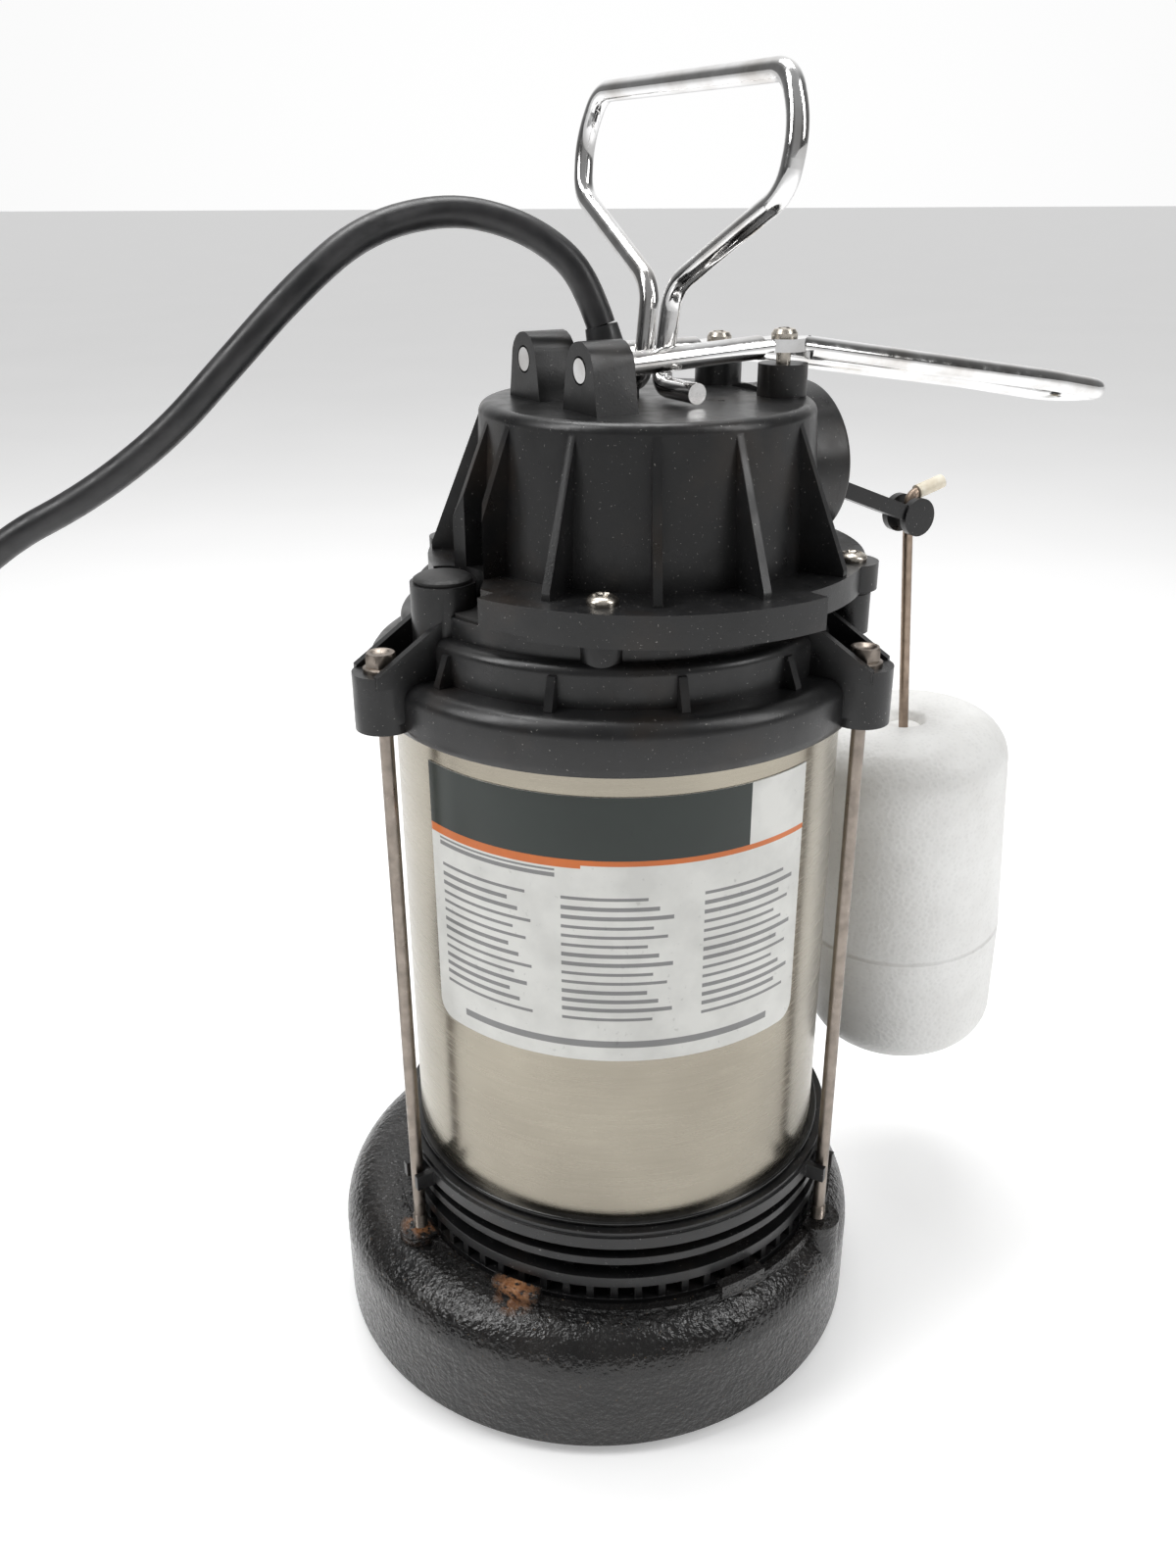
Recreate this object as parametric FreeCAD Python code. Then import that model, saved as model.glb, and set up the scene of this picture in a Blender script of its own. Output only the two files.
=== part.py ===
import FreeCAD, Part
import math
import os

# Submersible sump pump with a vertical float switch.
# Frame: +Z up, origin on the motor axis at the plane the feet stand on, millimetres.
# -Y is the front (label side); the float hangs towards +X, turned a little to the back.

# ---- driving dimensions ----------------------------------------------------------------
# cast base (volute)
BASE_R = 93.0
BASE_X = -7.0
BASE_Y = 1.0
FOOT_H = 3.0
BASE_SIDE_TOP = 33.0
BASE_SHOULDER_R = 15.0
BASE_TOP = BASE_SIDE_TOP + BASE_SHOULDER_R
COLLAR_H = 2.4
COLLAR_W = 2.8
LUG_H = 3.0
LUG_AZ = (-114.0, -58.0, 12.0, 62.0, 166.0)
CHAMBER_R = 58.0
CHAMBER_ROOF = 38.0
EYE_R = 30.0
COVER_SEAT_W = 6.5
COVER_T = 5.0
FOOT_CIRCLE_R = 74.0
FOOT_R = 8.0
FOOT_HOLE_R = 2.5
FOOT_HOLE_DEPTH = 10.0
FOOT_AZ = (30.0, 150.0, 270.0)

# discharge neck, 1-1/2 inch female pipe thread cut to its minor diameter
NECK_AZ = 112.0
NECK_R = 29.0
NECK_TOP = 62.0
THREAD_MINOR_R = 22.2
THREAD_LENGTH = 20.0
DUCT_R = 15.0
DUCT_Z = 24.0

# intake screen
SCREEN_TOP = 78.0
SCREEN_R = 75.6
SCREEN_INNER_R = 66.0
SCREEN_TOP_RING_H = 6.0
SCREEN_GAPS = (4.0, 5.4)
SCREEN_RINGS = (3.0, 4.0)
SCREEN_SILL_H = 2.4
SCREEN_BARS = 30
BAR_W = 3.0

# motor shell
SHELL_R = 70.0
SHELL_WALL = 1.2
SHELL_BOTTOM = 80.0
SHELL_TOP = 234.0
GASKET_T = 2.0
GASKET_PROUD = 2.4
LABEL_T = 0.35
LABEL_HALF_DEG = 51.0
LABEL_BOTTOM = 140.0
LABEL_TOP = 226.0
LABEL_CORNER_R = 6.0

# upper end bell
BELL_BAND_R = 77.0
BELL_BAND_TOP = 250.0
BELL_NECK_R = 66.6
BELL_NECK_TOP = 262.0
BELL_DECK = 268.0
BELL_WALL = 4.0
BELL_RIBS = 12
EAR_TOP = 253.0
EAR_R = 8.5
OIL_AZ = 213.0
OIL_CIRCLE_R = 59.0
OIL_BOSS_R = 9.4
OIL_SLOT_R = 12.0
OIL_BOSS_TOP = 276.0
OIL_BORE_R = 5.4

# tie rods
ROD_CIRCLE_R = 79.2
ROD_AZ = (-27.3, 92.7, 212.7)
ROD_R = 2.1
ROD_THREAD_R = 2.4
ROD_THREAD_TOP = 58.0
ROD_BOTTOM = 30.0
ROD_FLANGE_R = 5.3
ROD_FLANGE_T = 1.4
ROD_HEX_AF = 8.0
ROD_HEX_H = 4.0
ROD_HOLE_CLEAR = 0.4

# switch cap
CAP_X = 8.4
CAP_Y = 2.0
MIRROR_AZ = 30.5
CAP_FLANGE_R = 66.0
CAP_APRON_R = 72.4
CAP_APRON_START = -160.0
CAP_APRON_END = -79.0
CAP_APRON_LIP = 1.2
CAP_FLANGE_T = 8.0
CAP_GASKET_T = 1.2
CAP_TOP = 321.5
DRUM_R = 51.6
DRUM_TOP_R = 49.1
CAP_WALL = 4.6
CAP_EDGE_R = 3.2
FIN_T = 2.5
FIN_OUT = 13.4
FIN_OFFSETS = (-172.5, -145.5, -118.6, -91.6, -62.0, 62.0, 91.6, 118.6, 150.0, 172.5)
CAP_SCREW_R = 62.3
CAP_SCREW_OFFSETS = (-132.0, -44.6, 45.0, 135.0)
SCREW_TAB_R = 7.8
SCREW_HEAD_R = 4.35
SCREW_HEAD_H = 3.0
SCREW_SHANK_R = 2.0

# float switch housing and arm
HOUSING_R = 24.6
HOUSING_BORE_R = 20.0
HOUSING_Z = 298.5
HOUSING_FACE = 54.1
HOUSING_RING_T = 4.0
HOUSING_RING_BORE_R = 16.0
BOOT_T = 3.6
ARM_PIVOT_RHO = 46.1
ARM_TAIL_RHO = 33.1
YOKE_RHO = 105.1
YOKE_Z = 275.5
ARM_W = 10.0
ARM_T = 5.0
ARM_PIN_R = 2.0
ARM_RISE_DEG = 25.0
YOKE_R = 6.4
YOKE_GAP = 6.5
YOKE_CHEEK_T = 2.6

# float and its rod
FLOAT_R = 37.5
FLOAT_BOTTOM = 65.0
FLOAT_TOP = 200.0
FLOAT_SWING_DEG = 5.3
FLOAT_ROD_R = 1.7
FLOAT_BORE_CLEAR = 0.1
FLOAT_ROD_BOTTOM = 56.0
STOP_R = 7.5
STOP_H = 8.0
HOOK_RISE = 6.5
HOOK_LENGTH = 13.5
SLEEVE_R = 2.4
SLEEVE_LENGTH = 10.0

# guard loop over the float, and its ears and bosses
WIRE_R = 3.3
GUARD_HALF = 16.5
EAR_PIN_Z = 332.5
GUARD_EAR_START = -31.7
GUARD_EAR_END = -18.7
GUARD_EAR_HALF_W = 9.5
GUARD_EAR_TOP_R = 7.6
GUARD_EAR_CLEAR = 0.5
BOSS_ALONG = 36.1
BOSS_R = 7.25
BOSS_TOP = 330.7
GUARD_NEAR_LIFT = 3.4
GUARD_REACH = 178.6
GUARD_DROP = 23.0
WAIST_HALF_T = 1.8
WAIST_R = 6.4
GUARD_SCREW_HEAD_R = 3.8
GUARD_SCREW_HEAD_H = 2.8

# carrying bail
BAIL_WIRE_R = 2.9
BAIL_ALONG = 1.1
BAIL_FOOT_Z = 325.2
BAIL_LEAN_DEG = 7.2
BAIL_FOOT_HALF = 24.5
BAIL_LEG_HALF = 5.2

# motor inside the shell
SHAFT_R = 6.0
CORE_SEAT_R = 9.0
ROTOR_R = 27.5
ROTOR_BOTTOM = 118.0
ROTOR_TOP = 178.0
AIR_GAP = 0.6
STATOR_R = 60.0
STATOR_SLOTS = 18
WINDING_H = 18.0
BEARING_R = 16.0
BEARING_H = 10.0
SHAFT_FIT = 0.05
LOWER_BEARING_Z = 84.0
UPPER_BEARING_Z = 210.0
IMPELLER_R = 50.0
IMPELLER_BOTTOM = 15.0
IMPELLER_TOP = 33.0
IMPELLER_VANES = 7
BODY_GAP = 0.4

# power cord
CORD_R = 4.2
GLAND_X = -1.5
GLAND_Y = 0.0
GLAND_R = 6.5
GLAND_TOP = 326.0
COIL_X = -322.0
COIL_Y = 5.0
COIL_MEAN_R = 46.0
COIL_TURNS_WIDE = 4
COIL_TURNS_HIGH = 2
PLUG_W = 26.0
PLUG_H = 22.0
PLUG_L = 34.0


# ---- small building blocks -------------------------------------------------------------
def vec(x, y, z):
    return FreeCAD.Vector(x, y, z)


def polar(radius, az_deg, z=0.0, x0=0.0, y0=0.0):
    az = math.radians(az_deg)
    return vec(x0 + radius * math.cos(az), y0 + radius * math.sin(az), z)


def cyl(radius, z0, z1, x=0.0, y=0.0):
    return Part.makeCylinder(radius, z1 - z0, vec(x, y, z0))


def ring(outer, inner, z0, z1, x=0.0, y=0.0):
    return cyl(outer, z0, z1, x, y).cut(cyl(inner, z0, z1, x, y))


def rod(start, end, radius):
    run = end - start
    return Part.makeCylinder(radius, run.Length, start, run)


def turned(points, x=0.0, y=0.0):
    """Solid of revolution of a closed (radius, z) outline about a vertical axis."""
    corners = [vec(r, 0, z) for r, z in points]
    face = Part.Face(Part.makePolygon(corners + [corners[0]]))
    solid = face.revolve(vec(0, 0, 0), vec(0, 0, 1), 360)
    solid.translate(vec(x, y, 0))
    return solid


def arc_points(centre_r, centre_z, radius, start_deg, end_deg, steps=8):
    span = end_deg - start_deg
    angles = [math.radians(start_deg + span * i / steps) for i in range(steps + 1)]
    return [(centre_r + radius * math.cos(a), centre_z + radius * math.sin(a)) for a in angles]


def bar(az_deg, r0, r1, width, z0, z1, x=0.0, y=0.0, shift=0.0):
    """Box that runs radially from r0 to r1 at an azimuth."""
    box = Part.makeBox(r1 - r0, width, z1 - z0, vec(r0, shift - width / 2, z0))
    box.rotate(vec(0, 0, 0), vec(0, 0, 1), az_deg)
    box.translate(vec(x, y, 0))
    return box


def rib(az_deg, outline, thickness, x=0.0, y=0.0, shift=0.0):
    """Thin upright plate with a (radius, z) outline, standing on a radial line."""
    corners = [vec(r, shift - thickness / 2, z) for r, z in outline]
    face = Part.Face(Part.makePolygon(corners + [corners[0]]))
    plate = face.extrude(vec(0, thickness, 0))
    plate.rotate(vec(0, 0, 0), vec(0, 0, 1), az_deg)
    plate.translate(vec(x, y, 0))
    return plate


def hexagon(across_flats, z0, z1, x=0.0, y=0.0):
    corner_r = across_flats / math.sqrt(3)
    corners = [polar(corner_r, 60 * i, z0, x, y) for i in range(6)]
    return Part.Face(Part.makePolygon(corners + [corners[0]])).extrude(vec(0, 0, z1 - z0))


def bent_path(points, radii):
    """Straight runs joined by tangent arcs; one radius for each inner point."""
    edges = []
    start = points[0]
    for i in range(1, len(points) - 1):
        corner = points[i]
        back = (points[i - 1] - corner).normalize()
        ahead = (points[i + 1] - corner).normalize()
        half_open = back.getAngle(ahead) / 2
        setback = radii[i - 1] / math.tan(half_open)
        arc_start = corner + back * setback
        arc_end = corner + ahead * setback
        bisector = (back + ahead).normalize()
        crown = radii[i - 1] / math.sin(half_open) - radii[i - 1]
        arc_middle = corner + bisector * crown
        edges.append(Part.LineSegment(start, arc_start).toShape())
        edges.append(Part.Arc(arc_start, arc_middle, arc_end).toShape())
        start = arc_end
    edges.append(Part.LineSegment(start, points[-1]).toShape())
    return Part.Wire(edges)


def tube(path, first, second, radius):
    """Round bar swept along a path that starts at first and heads for second."""
    circle = Part.Wire(Part.Circle(first, second - first, radius).toShape())
    return path.makePipeShell([circle], True, False)


def round_where(shape, radius, chosen):
    edges = [edge for edge in shape.Edges if chosen(edge)]
    return shape.makeFillet(radius, edges)


def on_handle(along, across, z):
    """Point in the cap's own frame: along its mirror line, and across it to the front."""
    az = math.radians(MIRROR_AZ)
    x = CAP_X + along * math.cos(az) + across * math.sin(az)
    y = CAP_Y + along * math.sin(az) - across * math.cos(az)
    return vec(x, y, z)


def to_cap_frame(shape):
    """Move a shape built with its mirror line on +X to the cap's place."""
    shape.rotate(vec(0, 0, 0), vec(0, 0, 1), MIRROR_AZ)
    shape.translate(vec(CAP_X, CAP_Y, 0))
    return shape


def save(name, shape):
    shape.exportStep("parts/" + name + ".step")
    solids = len(shape.Solids)
    print(name, "solids", solids, "valid", shape.isValid(), "cm3", round(shape.Volume / 1000, 2))


# ---- places that several pieces share --------------------------------------------------
COVER_TOP = FOOT_H + COVER_T
COVER_R = CHAMBER_R + COVER_SEAT_W
NECK_CIRCLE_R = SCREEN_R + NECK_R + 1.6
NECK_X = polar(NECK_CIRCLE_R, NECK_AZ).x
NECK_Y = polar(NECK_CIRCLE_R, NECK_AZ).y
COLLAR_INNER_R = SCREEN_R + 0.8
SHELL_INNER_R = SHELL_R - SHELL_WALL
CAP_FLANGE_BOTTOM = BELL_DECK + CAP_GASKET_T
CAP_FLANGE_TOP = CAP_FLANGE_BOTTOM + CAP_FLANGE_T
ARM_LENGTH = math.hypot(YOKE_RHO - ARM_PIVOT_RHO, HOUSING_Z - YOKE_Z)
ARM_SLOPE_DEG = math.degrees(math.atan2(HOUSING_Z - YOKE_Z, YOKE_RHO - ARM_PIVOT_RHO))
COVER_SCREW_R = CHAMBER_R + COVER_SEAT_W / 2
COVER_SCREW_AZ = (20.0, 110.0, 200.0, 290.0)


# ---- base, cover and screen ------------------------------------------------------------
def volute_base():
    side = [(0, FOOT_H), (BASE_R - 2, FOOT_H), (BASE_R, FOOT_H + 2)]
    shoulder = arc_points(BASE_R - BASE_SHOULDER_R, BASE_SIDE_TOP, BASE_SHOULDER_R, 0, 90, 12)
    body = turned(side + shoulder + [(0, BASE_TOP)], BASE_X, BASE_Y)
    collar_outer = COLLAR_INNER_R + COLLAR_W
    body = body.fuse(cyl(collar_outer, BASE_TOP - 10, BASE_TOP + COLLAR_H))
    for az in LUG_AZ:
        lug = ring(collar_outer + 0.8, COLLAR_INNER_R, BASE_TOP, BASE_TOP + COLLAR_H + LUG_H)
        body = body.fuse(lug.common(bar(az, 60, 90, 17, BASE_TOP, BASE_TOP + 10)))
    for az in ROD_AZ:
        place = polar(ROD_CIRCLE_R, az)
        body = body.fuse(cyl(7.4, BASE_SIDE_TOP, BASE_TOP + COLLAR_H + 1.5, place.x, place.y))
    for az in FOOT_AZ:
        place = polar(FOOT_CIRCLE_R, az)
        body = body.fuse(cyl(FOOT_R, 0, FOOT_H + 2, place.x, place.y))
    duct_body = bar(NECK_AZ, 60, NECK_CIRCLE_R, 2 * NECK_R, FOOT_H, BASE_TOP - 4)
    neck = cyl(NECK_R, FOOT_H, NECK_TOP, NECK_X, NECK_Y)
    lip = cyl(NECK_R + 1.2, NECK_TOP - 9, NECK_TOP - 1, NECK_X, NECK_Y)
    body = body.fuse(duct_body).fuse(neck)
    body = body.fuse(lip)
    cuts = [cyl(COVER_R + 0.3, 0, COVER_TOP), cyl(CHAMBER_R, COVER_TOP, CHAMBER_ROOF)]
    cuts.append(cyl(EYE_R, CHAMBER_ROOF, BASE_TOP + 20))
    cuts.append(cyl(COLLAR_INNER_R, BASE_TOP, BASE_TOP + 20))
    cuts.append(rod(polar(CHAMBER_R - 14, NECK_AZ, DUCT_Z), polar(NECK_CIRCLE_R, NECK_AZ, DUCT_Z), DUCT_R))
    cuts.append(cyl(DUCT_R + 3, DUCT_Z - DUCT_R, NECK_TOP - THREAD_LENGTH, NECK_X, NECK_Y))
    cuts.append(cyl(THREAD_MINOR_R, NECK_TOP - THREAD_LENGTH, NECK_TOP, NECK_X, NECK_Y))
    for az in FOOT_AZ:
        place = polar(FOOT_CIRCLE_R, az)
        cuts.append(cyl(FOOT_HOLE_R, 0, FOOT_HOLE_DEPTH, place.x, place.y))
    for az in ROD_AZ:
        place = polar(ROD_CIRCLE_R, az)
        cuts.append(cyl(ROD_THREAD_R, ROD_BOTTOM, BASE_TOP + 20, place.x, place.y))
    for az in COVER_SCREW_AZ:
        place = polar(COVER_SCREW_R, az)
        cuts.append(cyl(1.5, COVER_TOP, COVER_TOP + 9, place.x, place.y))
    for cutter in cuts:
        body = body.cut(cutter)
    return body


def suction_cover():
    plate = cyl(COVER_R, FOOT_H, COVER_TOP)
    for i in range(12):
        plate = plate.cut(bar(30 * i, 12, EYE_R, 4.6, FOOT_H, COVER_TOP))
    for az in COVER_SCREW_AZ:
        place = polar(COVER_SCREW_R, az)
        plate = plate.cut(cyl(1.7, FOOT_H, COVER_TOP, place.x, place.y))
        plate = plate.cut(cyl(2.9, FOOT_H, FOOT_H + 2, place.x, place.y))
    return plate


def cover_screws():
    screws = []
    for az in COVER_SCREW_AZ:
        place = polar(COVER_SCREW_R, az)
        head = cyl(2.7, FOOT_H + 0.1, FOOT_H + 2, place.x, place.y)
        shank = cyl(1.5, FOOT_H + 2, COVER_TOP + 8, place.x, place.y)
        screws.append(head.fuse(shank).cut(bar(0, -2, 2, 0.8, FOOT_H, FOOT_H + 1, place.x, place.y)))
    return Part.makeCompound(screws)


def intake_screen():
    ring_tops = [SCREEN_TOP - SCREEN_TOP_RING_H - SCREEN_GAPS[0]]
    ring_tops.append(ring_tops[0] - SCREEN_RINGS[0] - SCREEN_GAPS[1])
    top_ring = ring(SCREEN_R - 0.8, SCREEN_INNER_R, SCREEN_TOP - SCREEN_TOP_RING_H, SCREEN_TOP)
    body = top_ring.fuse(ring(SCREEN_R, SCREEN_INNER_R, SCREEN_TOP - SCREEN_TOP_RING_H, SCREEN_TOP - 1.6))
    for top, height in zip(ring_tops, SCREEN_RINGS):
        body = body.fuse(ring(SCREEN_R - 0.7, SCREEN_INNER_R, top - height, top))
    body = body.fuse(ring(SCREEN_R - 1.0, SCREEN_INNER_R, BASE_TOP, BASE_TOP + SCREEN_SILL_H))
    for i in range(SCREEN_BARS):
        az = 360.0 * (i + 0.5) / SCREEN_BARS
        body = body.fuse(bar(az, SCREEN_INNER_R + 0.4, SCREEN_R - 5.4, BAR_W, BASE_TOP, SCREEN_TOP - 1))
    low_top = ring_tops[1] - SCREEN_RINGS[1]
    for i in range(2 * SCREEN_BARS):
        az = 180.0 * i / SCREEN_BARS
        tooth = bar(az, SCREEN_INNER_R + 2, SCREEN_R - 1.2, 2.4, BASE_TOP + 1, low_top + 1)
        body = body.fuse(tooth)
    for az in ROD_AZ:
        for side in (-1, 1):
            prong = bar(az, SCREEN_R - 4, SCREEN_R + 6, 2.2, SCREEN_TOP - 7, SCREEN_TOP - 1.6, shift=side * 4.2)
            body = body.fuse(prong)
    return body


# ---- motor shell and what closes it -----------------------------------------------------
def seal_plate():
    disc_r = SHELL_INNER_R - 0.3
    plate = cyl(disc_r, SCREEN_TOP, LOWER_BEARING_Z)
    plate = plate.fuse(cyl(BEARING_R + 6, SCREEN_TOP, LOWER_BEARING_Z + BEARING_H))
    plate = plate.fuse(cyl(21, 58, SCREEN_TOP))
    for i in range(6):
        plate = plate.fuse(bar(60 * i, 20, 60, 4, LOWER_BEARING_Z, LOWER_BEARING_Z + 5))
    plate = plate.cut(cyl(BEARING_R, LOWER_BEARING_Z, LOWER_BEARING_Z + BEARING_H + 1))
    plate = plate.cut(cyl(SHAFT_R + 2, 58, LOWER_BEARING_Z))
    return plate.cut(cyl(15, 50, 76))


def ball_bearing(z0, height):
    body = ring(BEARING_R, SHAFT_R + SHAFT_FIT, z0, z0 + height)
    for z in (z0, z0 + height - 1.2):
        body = body.cut(ring(BEARING_R - 3, SHAFT_R + 3, z, z + 1.2))
    return body


def upper_bracket():
    z0 = UPPER_BEARING_Z
    body = ring(BEARING_R + 4, BEARING_R, z0, z0 + BEARING_H)
    body = body.fuse(ring(BEARING_R + 4, SHAFT_R + 3, z0 + BEARING_H, z0 + BEARING_H + 3))
    for i in range(4):
        body = body.fuse(bar(45 + 90 * i, BEARING_R + 2, SHELL_INNER_R - 3, 12, z0 + 4, z0 + BEARING_H))
    return body.fuse(ring(SHELL_INNER_R - 0.2, SHELL_INNER_R - 4, z0 + 2, z0 + BEARING_H + 2))


def label_plate():
    body = ring(SHELL_R + LABEL_T, SHELL_R, LABEL_BOTTOM, LABEL_TOP)
    wedge = Part.makeCylinder(
        SHELL_R + 5, LABEL_TOP - LABEL_BOTTOM, vec(0, 0, LABEL_BOTTOM), vec(0, 0, 1), 2 * LABEL_HALF_DEG
    )
    wedge.rotate(vec(0, 0, 0), vec(0, 0, 1), -90 - LABEL_HALF_DEG)
    body = body.common(wedge)

    def corner(edge):
        middle = edge.CenterOfMass
        radial = abs(math.hypot(edge.Vertexes[0].X, edge.Vertexes[0].Y)
                     - math.hypot(edge.Vertexes[-1].X, edge.Vertexes[-1].Y)) > 0.1
        return radial and abs(middle.z - LABEL_BOTTOM) < 0.1

    return round_where(body, LABEL_CORNER_R, corner)


def stator_core():
    body = ring(STATOR_R, ROTOR_R + AIR_GAP, ROTOR_BOTTOM, ROTOR_TOP)
    for i in range(STATOR_SLOTS):
        az = 360.0 * i / STATOR_SLOTS
        body = body.cut(bar(az, ROTOR_R + 4, ROTOR_R + 18, 5.2, ROTOR_BOTTOM, ROTOR_TOP))
        body = body.cut(bar(az, ROTOR_R - 2, ROTOR_R + 5, 1.8, ROTOR_BOTTOM, ROTOR_TOP))
    for i in range(4):
        key = bar(90 * i, STATOR_R - 3, SHELL_INNER_R, 16, ROTOR_BOTTOM, ROTOR_TOP)
        body = body.fuse(key.common(cyl(SHELL_INNER_R, ROTOR_BOTTOM, ROTOR_TOP)))
    return body


def winding(z0, z1):
    middle = (z0 + z1) / 2
    half = (z1 - z0) / 2
    inner = ROTOR_R + 5
    outer = STATOR_R - 6
    edge = 5.0
    outline = arc_points(outer - edge, z1 - edge, edge, 0, 90, 5)
    outline += arc_points(inner + edge, z1 - edge, edge, 90, 180, 5)
    outline += arc_points(inner + edge, z0 + edge, edge, 180, 270, 5)
    outline += arc_points(outer - edge, z0 + edge, edge, 270, 360, 5)
    body = turned(outline)
    for i in range(6):
        body = body.cut(ring(outer + 2, outer - 1.2, middle - half, middle + half).common(
            bar(60 * i, outer - 4, outer + 4, 3, z0, z1)))
    return body


# ---- rotor ------------------------------------------------------------------------------
def shaft():
    body = cyl(SHAFT_R - 1, IMPELLER_BOTTOM - 4, IMPELLER_TOP + 3)
    body = body.fuse(cyl(SHAFT_R, IMPELLER_TOP + 3, UPPER_BEARING_Z + BEARING_H + 8))
    return body.fuse(cyl(CORE_SEAT_R, LOWER_BEARING_Z + BEARING_H + 4, UPPER_BEARING_Z - 4))


def rotor_core():
    return ring(ROTOR_R, CORE_SEAT_R, ROTOR_BOTTOM + 2, ROTOR_TOP - 2)


def rotor_end_ring(z0, z1, fan_z0, fan_z1):
    body = ring(ROTOR_R - 1.5, CORE_SEAT_R, z0, z1)
    for i in range(8):
        body = body.fuse(bar(45 * i, ROTOR_R - 8, ROTOR_R - 1.5, 2.4, fan_z0, fan_z1))
    return body


def impeller():
    middle = (IMPELLER_BOTTOM + IMPELLER_TOP) / 2
    body = cyl(IMPELLER_R, middle - 1.5, middle + 1.5)
    for i in range(IMPELLER_VANES):
        vane = Part.makeBox(44, 3, IMPELLER_TOP - IMPELLER_BOTTOM, vec(0, -1.5, IMPELLER_BOTTOM))
        vane.rotate(vec(0, 0, 0), vec(0, 0, 1), 38)
        vane.translate(vec(14, 0, 0))
        vane.rotate(vec(0, 0, 0), vec(0, 0, 1), 360.0 * i / IMPELLER_VANES)
        body = body.fuse(vane.common(cyl(IMPELLER_R, IMPELLER_BOTTOM, IMPELLER_TOP)))
    body = body.fuse(cyl(10, IMPELLER_BOTTOM, IMPELLER_TOP + 3))
    return body.cut(cyl(SHAFT_R - 1, IMPELLER_BOTTOM, IMPELLER_TOP + 3))


def impeller_nut():
    nut = hexagon(13.0, IMPELLER_BOTTOM - 4.5, IMPELLER_BOTTOM)
    return nut.cut(cyl(SHAFT_R - 1, IMPELLER_BOTTOM - 4, IMPELLER_BOTTOM))


def seal_spring():
    turns = []
    for i in range(5):
        turn = Part.makeTorus(9.0, 1.0, vec(0, 0, 41 + 2.6 * i))
        turns.append(turn)
    return Part.makeCompound(turns)


# ---- end bell ---------------------------------------------------------------------------
def cap_screw_places():
    return [polar(CAP_SCREW_R, MIRROR_AZ + off, 0, CAP_X, CAP_Y) for off in CAP_SCREW_OFFSETS]


def end_bell():
    skirt_r = BELL_BAND_R - 1.6
    seat_z = SHELL_TOP + GASKET_T
    outline = [(skirt_r, SHELL_TOP), (BELL_BAND_R, SHELL_TOP + 3)]
    outline += arc_points(BELL_BAND_R - 5, BELL_BAND_TOP - 5, 5, 0, 90, 6)
    outline += [(BELL_NECK_R, BELL_BAND_TOP)]
    outline += arc_points(BELL_NECK_R - 3, BELL_NECK_TOP - 3, 3, 0, 90, 5)
    outline += [(BELL_NECK_R - 4.6, BELL_NECK_TOP), (BELL_NECK_R - 4.6, BELL_DECK)]
    outline += [(22, BELL_DECK), (22, BELL_DECK - 6), (BELL_NECK_R - 12, BELL_DECK - 6)]
    outline += [(BELL_NECK_R - BELL_WALL, BELL_NECK_TOP - 8), (BELL_NECK_R - BELL_WALL, seat_z + 4)]
    outline += [(SHELL_INNER_R - 2.2, seat_z), (SHELL_INNER_R - 2.2, seat_z - 8)]
    outline += [(SHELL_INNER_R - 0.2, seat_z - 8), (SHELL_INNER_R - 0.2, seat_z)]
    outline += [(SHELL_R + 2.2, seat_z), (SHELL_R + 2.2, SHELL_TOP)]
    body = turned(outline)
    for i in range(BELL_RIBS):
        az = -90 + 360.0 * (i + 0.5) / BELL_RIBS
        slope = [(64, 249), (71, 249), (71, 251), (BELL_NECK_R + 1, BELL_NECK_TOP - 3), (64, BELL_NECK_TOP - 3)]
        body = body.fuse(rib(az, slope, 2.4))
    for az in ROD_AZ:
        place = polar(ROD_CIRCLE_R, az)
        ear = cyl(EAR_R, SHELL_TOP + 2, EAR_TOP, place.x, place.y)
        ear = ear.fuse(bar(az, BELL_NECK_R - 3, ROD_CIRCLE_R, 2 * EAR_R, SHELL_TOP + 5, EAR_TOP))
        ear = ear.cut(cyl(SHELL_R + 3, 0, seat_z + 4))
        body = body.fuse(ear)
        slope = [(63, 250), (ROD_CIRCLE_R + 5, 250), (ROD_CIRCLE_R + 5, EAR_TOP + 0.6), (63, BELL_NECK_TOP + 5)]
        for side in (-1, 1):
            body = body.fuse(rib(az, slope, 2.4, shift=side * (EAR_R - 1.2)))
    for place in cap_screw_places():
        body = body.fuse(cyl(6.2, 256, BELL_DECK, place.x, place.y))
    oil = polar(OIL_CIRCLE_R, OIL_AZ)
    body = body.fuse(cyl(OIL_BOSS_R, 257, OIL_BOSS_TOP, oil.x, oil.y))
    body = body.cut(cyl(OIL_BORE_R, 250, OIL_BOSS_TOP, oil.x, oil.y))
    for place in cap_screw_places():
        body = body.cut(cyl(SCREW_SHANK_R, 258, BELL_DECK, place.x, place.y))
    for az in ROD_AZ:
        place = polar(ROD_CIRCLE_R, az)
        body = body.cut(cyl(ROD_R + ROD_HOLE_CLEAR, SHELL_TOP, EAR_TOP, place.x, place.y))
        body = body.cut(cyl(ROD_FLANGE_R + 0.6, EAR_TOP, EAR_TOP + 12, place.x, place.y))
    return body


def oil_plug():
    oil = polar(OIL_CIRCLE_R, OIL_AZ)
    dome = [(0, OIL_BOSS_TOP), (8.4, OIL_BOSS_TOP), (8.4, OIL_BOSS_TOP + 1.0)]
    dome += [(7.2, OIL_BOSS_TOP + 1.8), (4.0, OIL_BOSS_TOP + 2.2), (0, OIL_BOSS_TOP + 2.4)]
    return turned(dome, oil.x, oil.y).fuse(cyl(OIL_BORE_R, OIL_BOSS_TOP - 11, OIL_BOSS_TOP, oil.x, oil.y))


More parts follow.
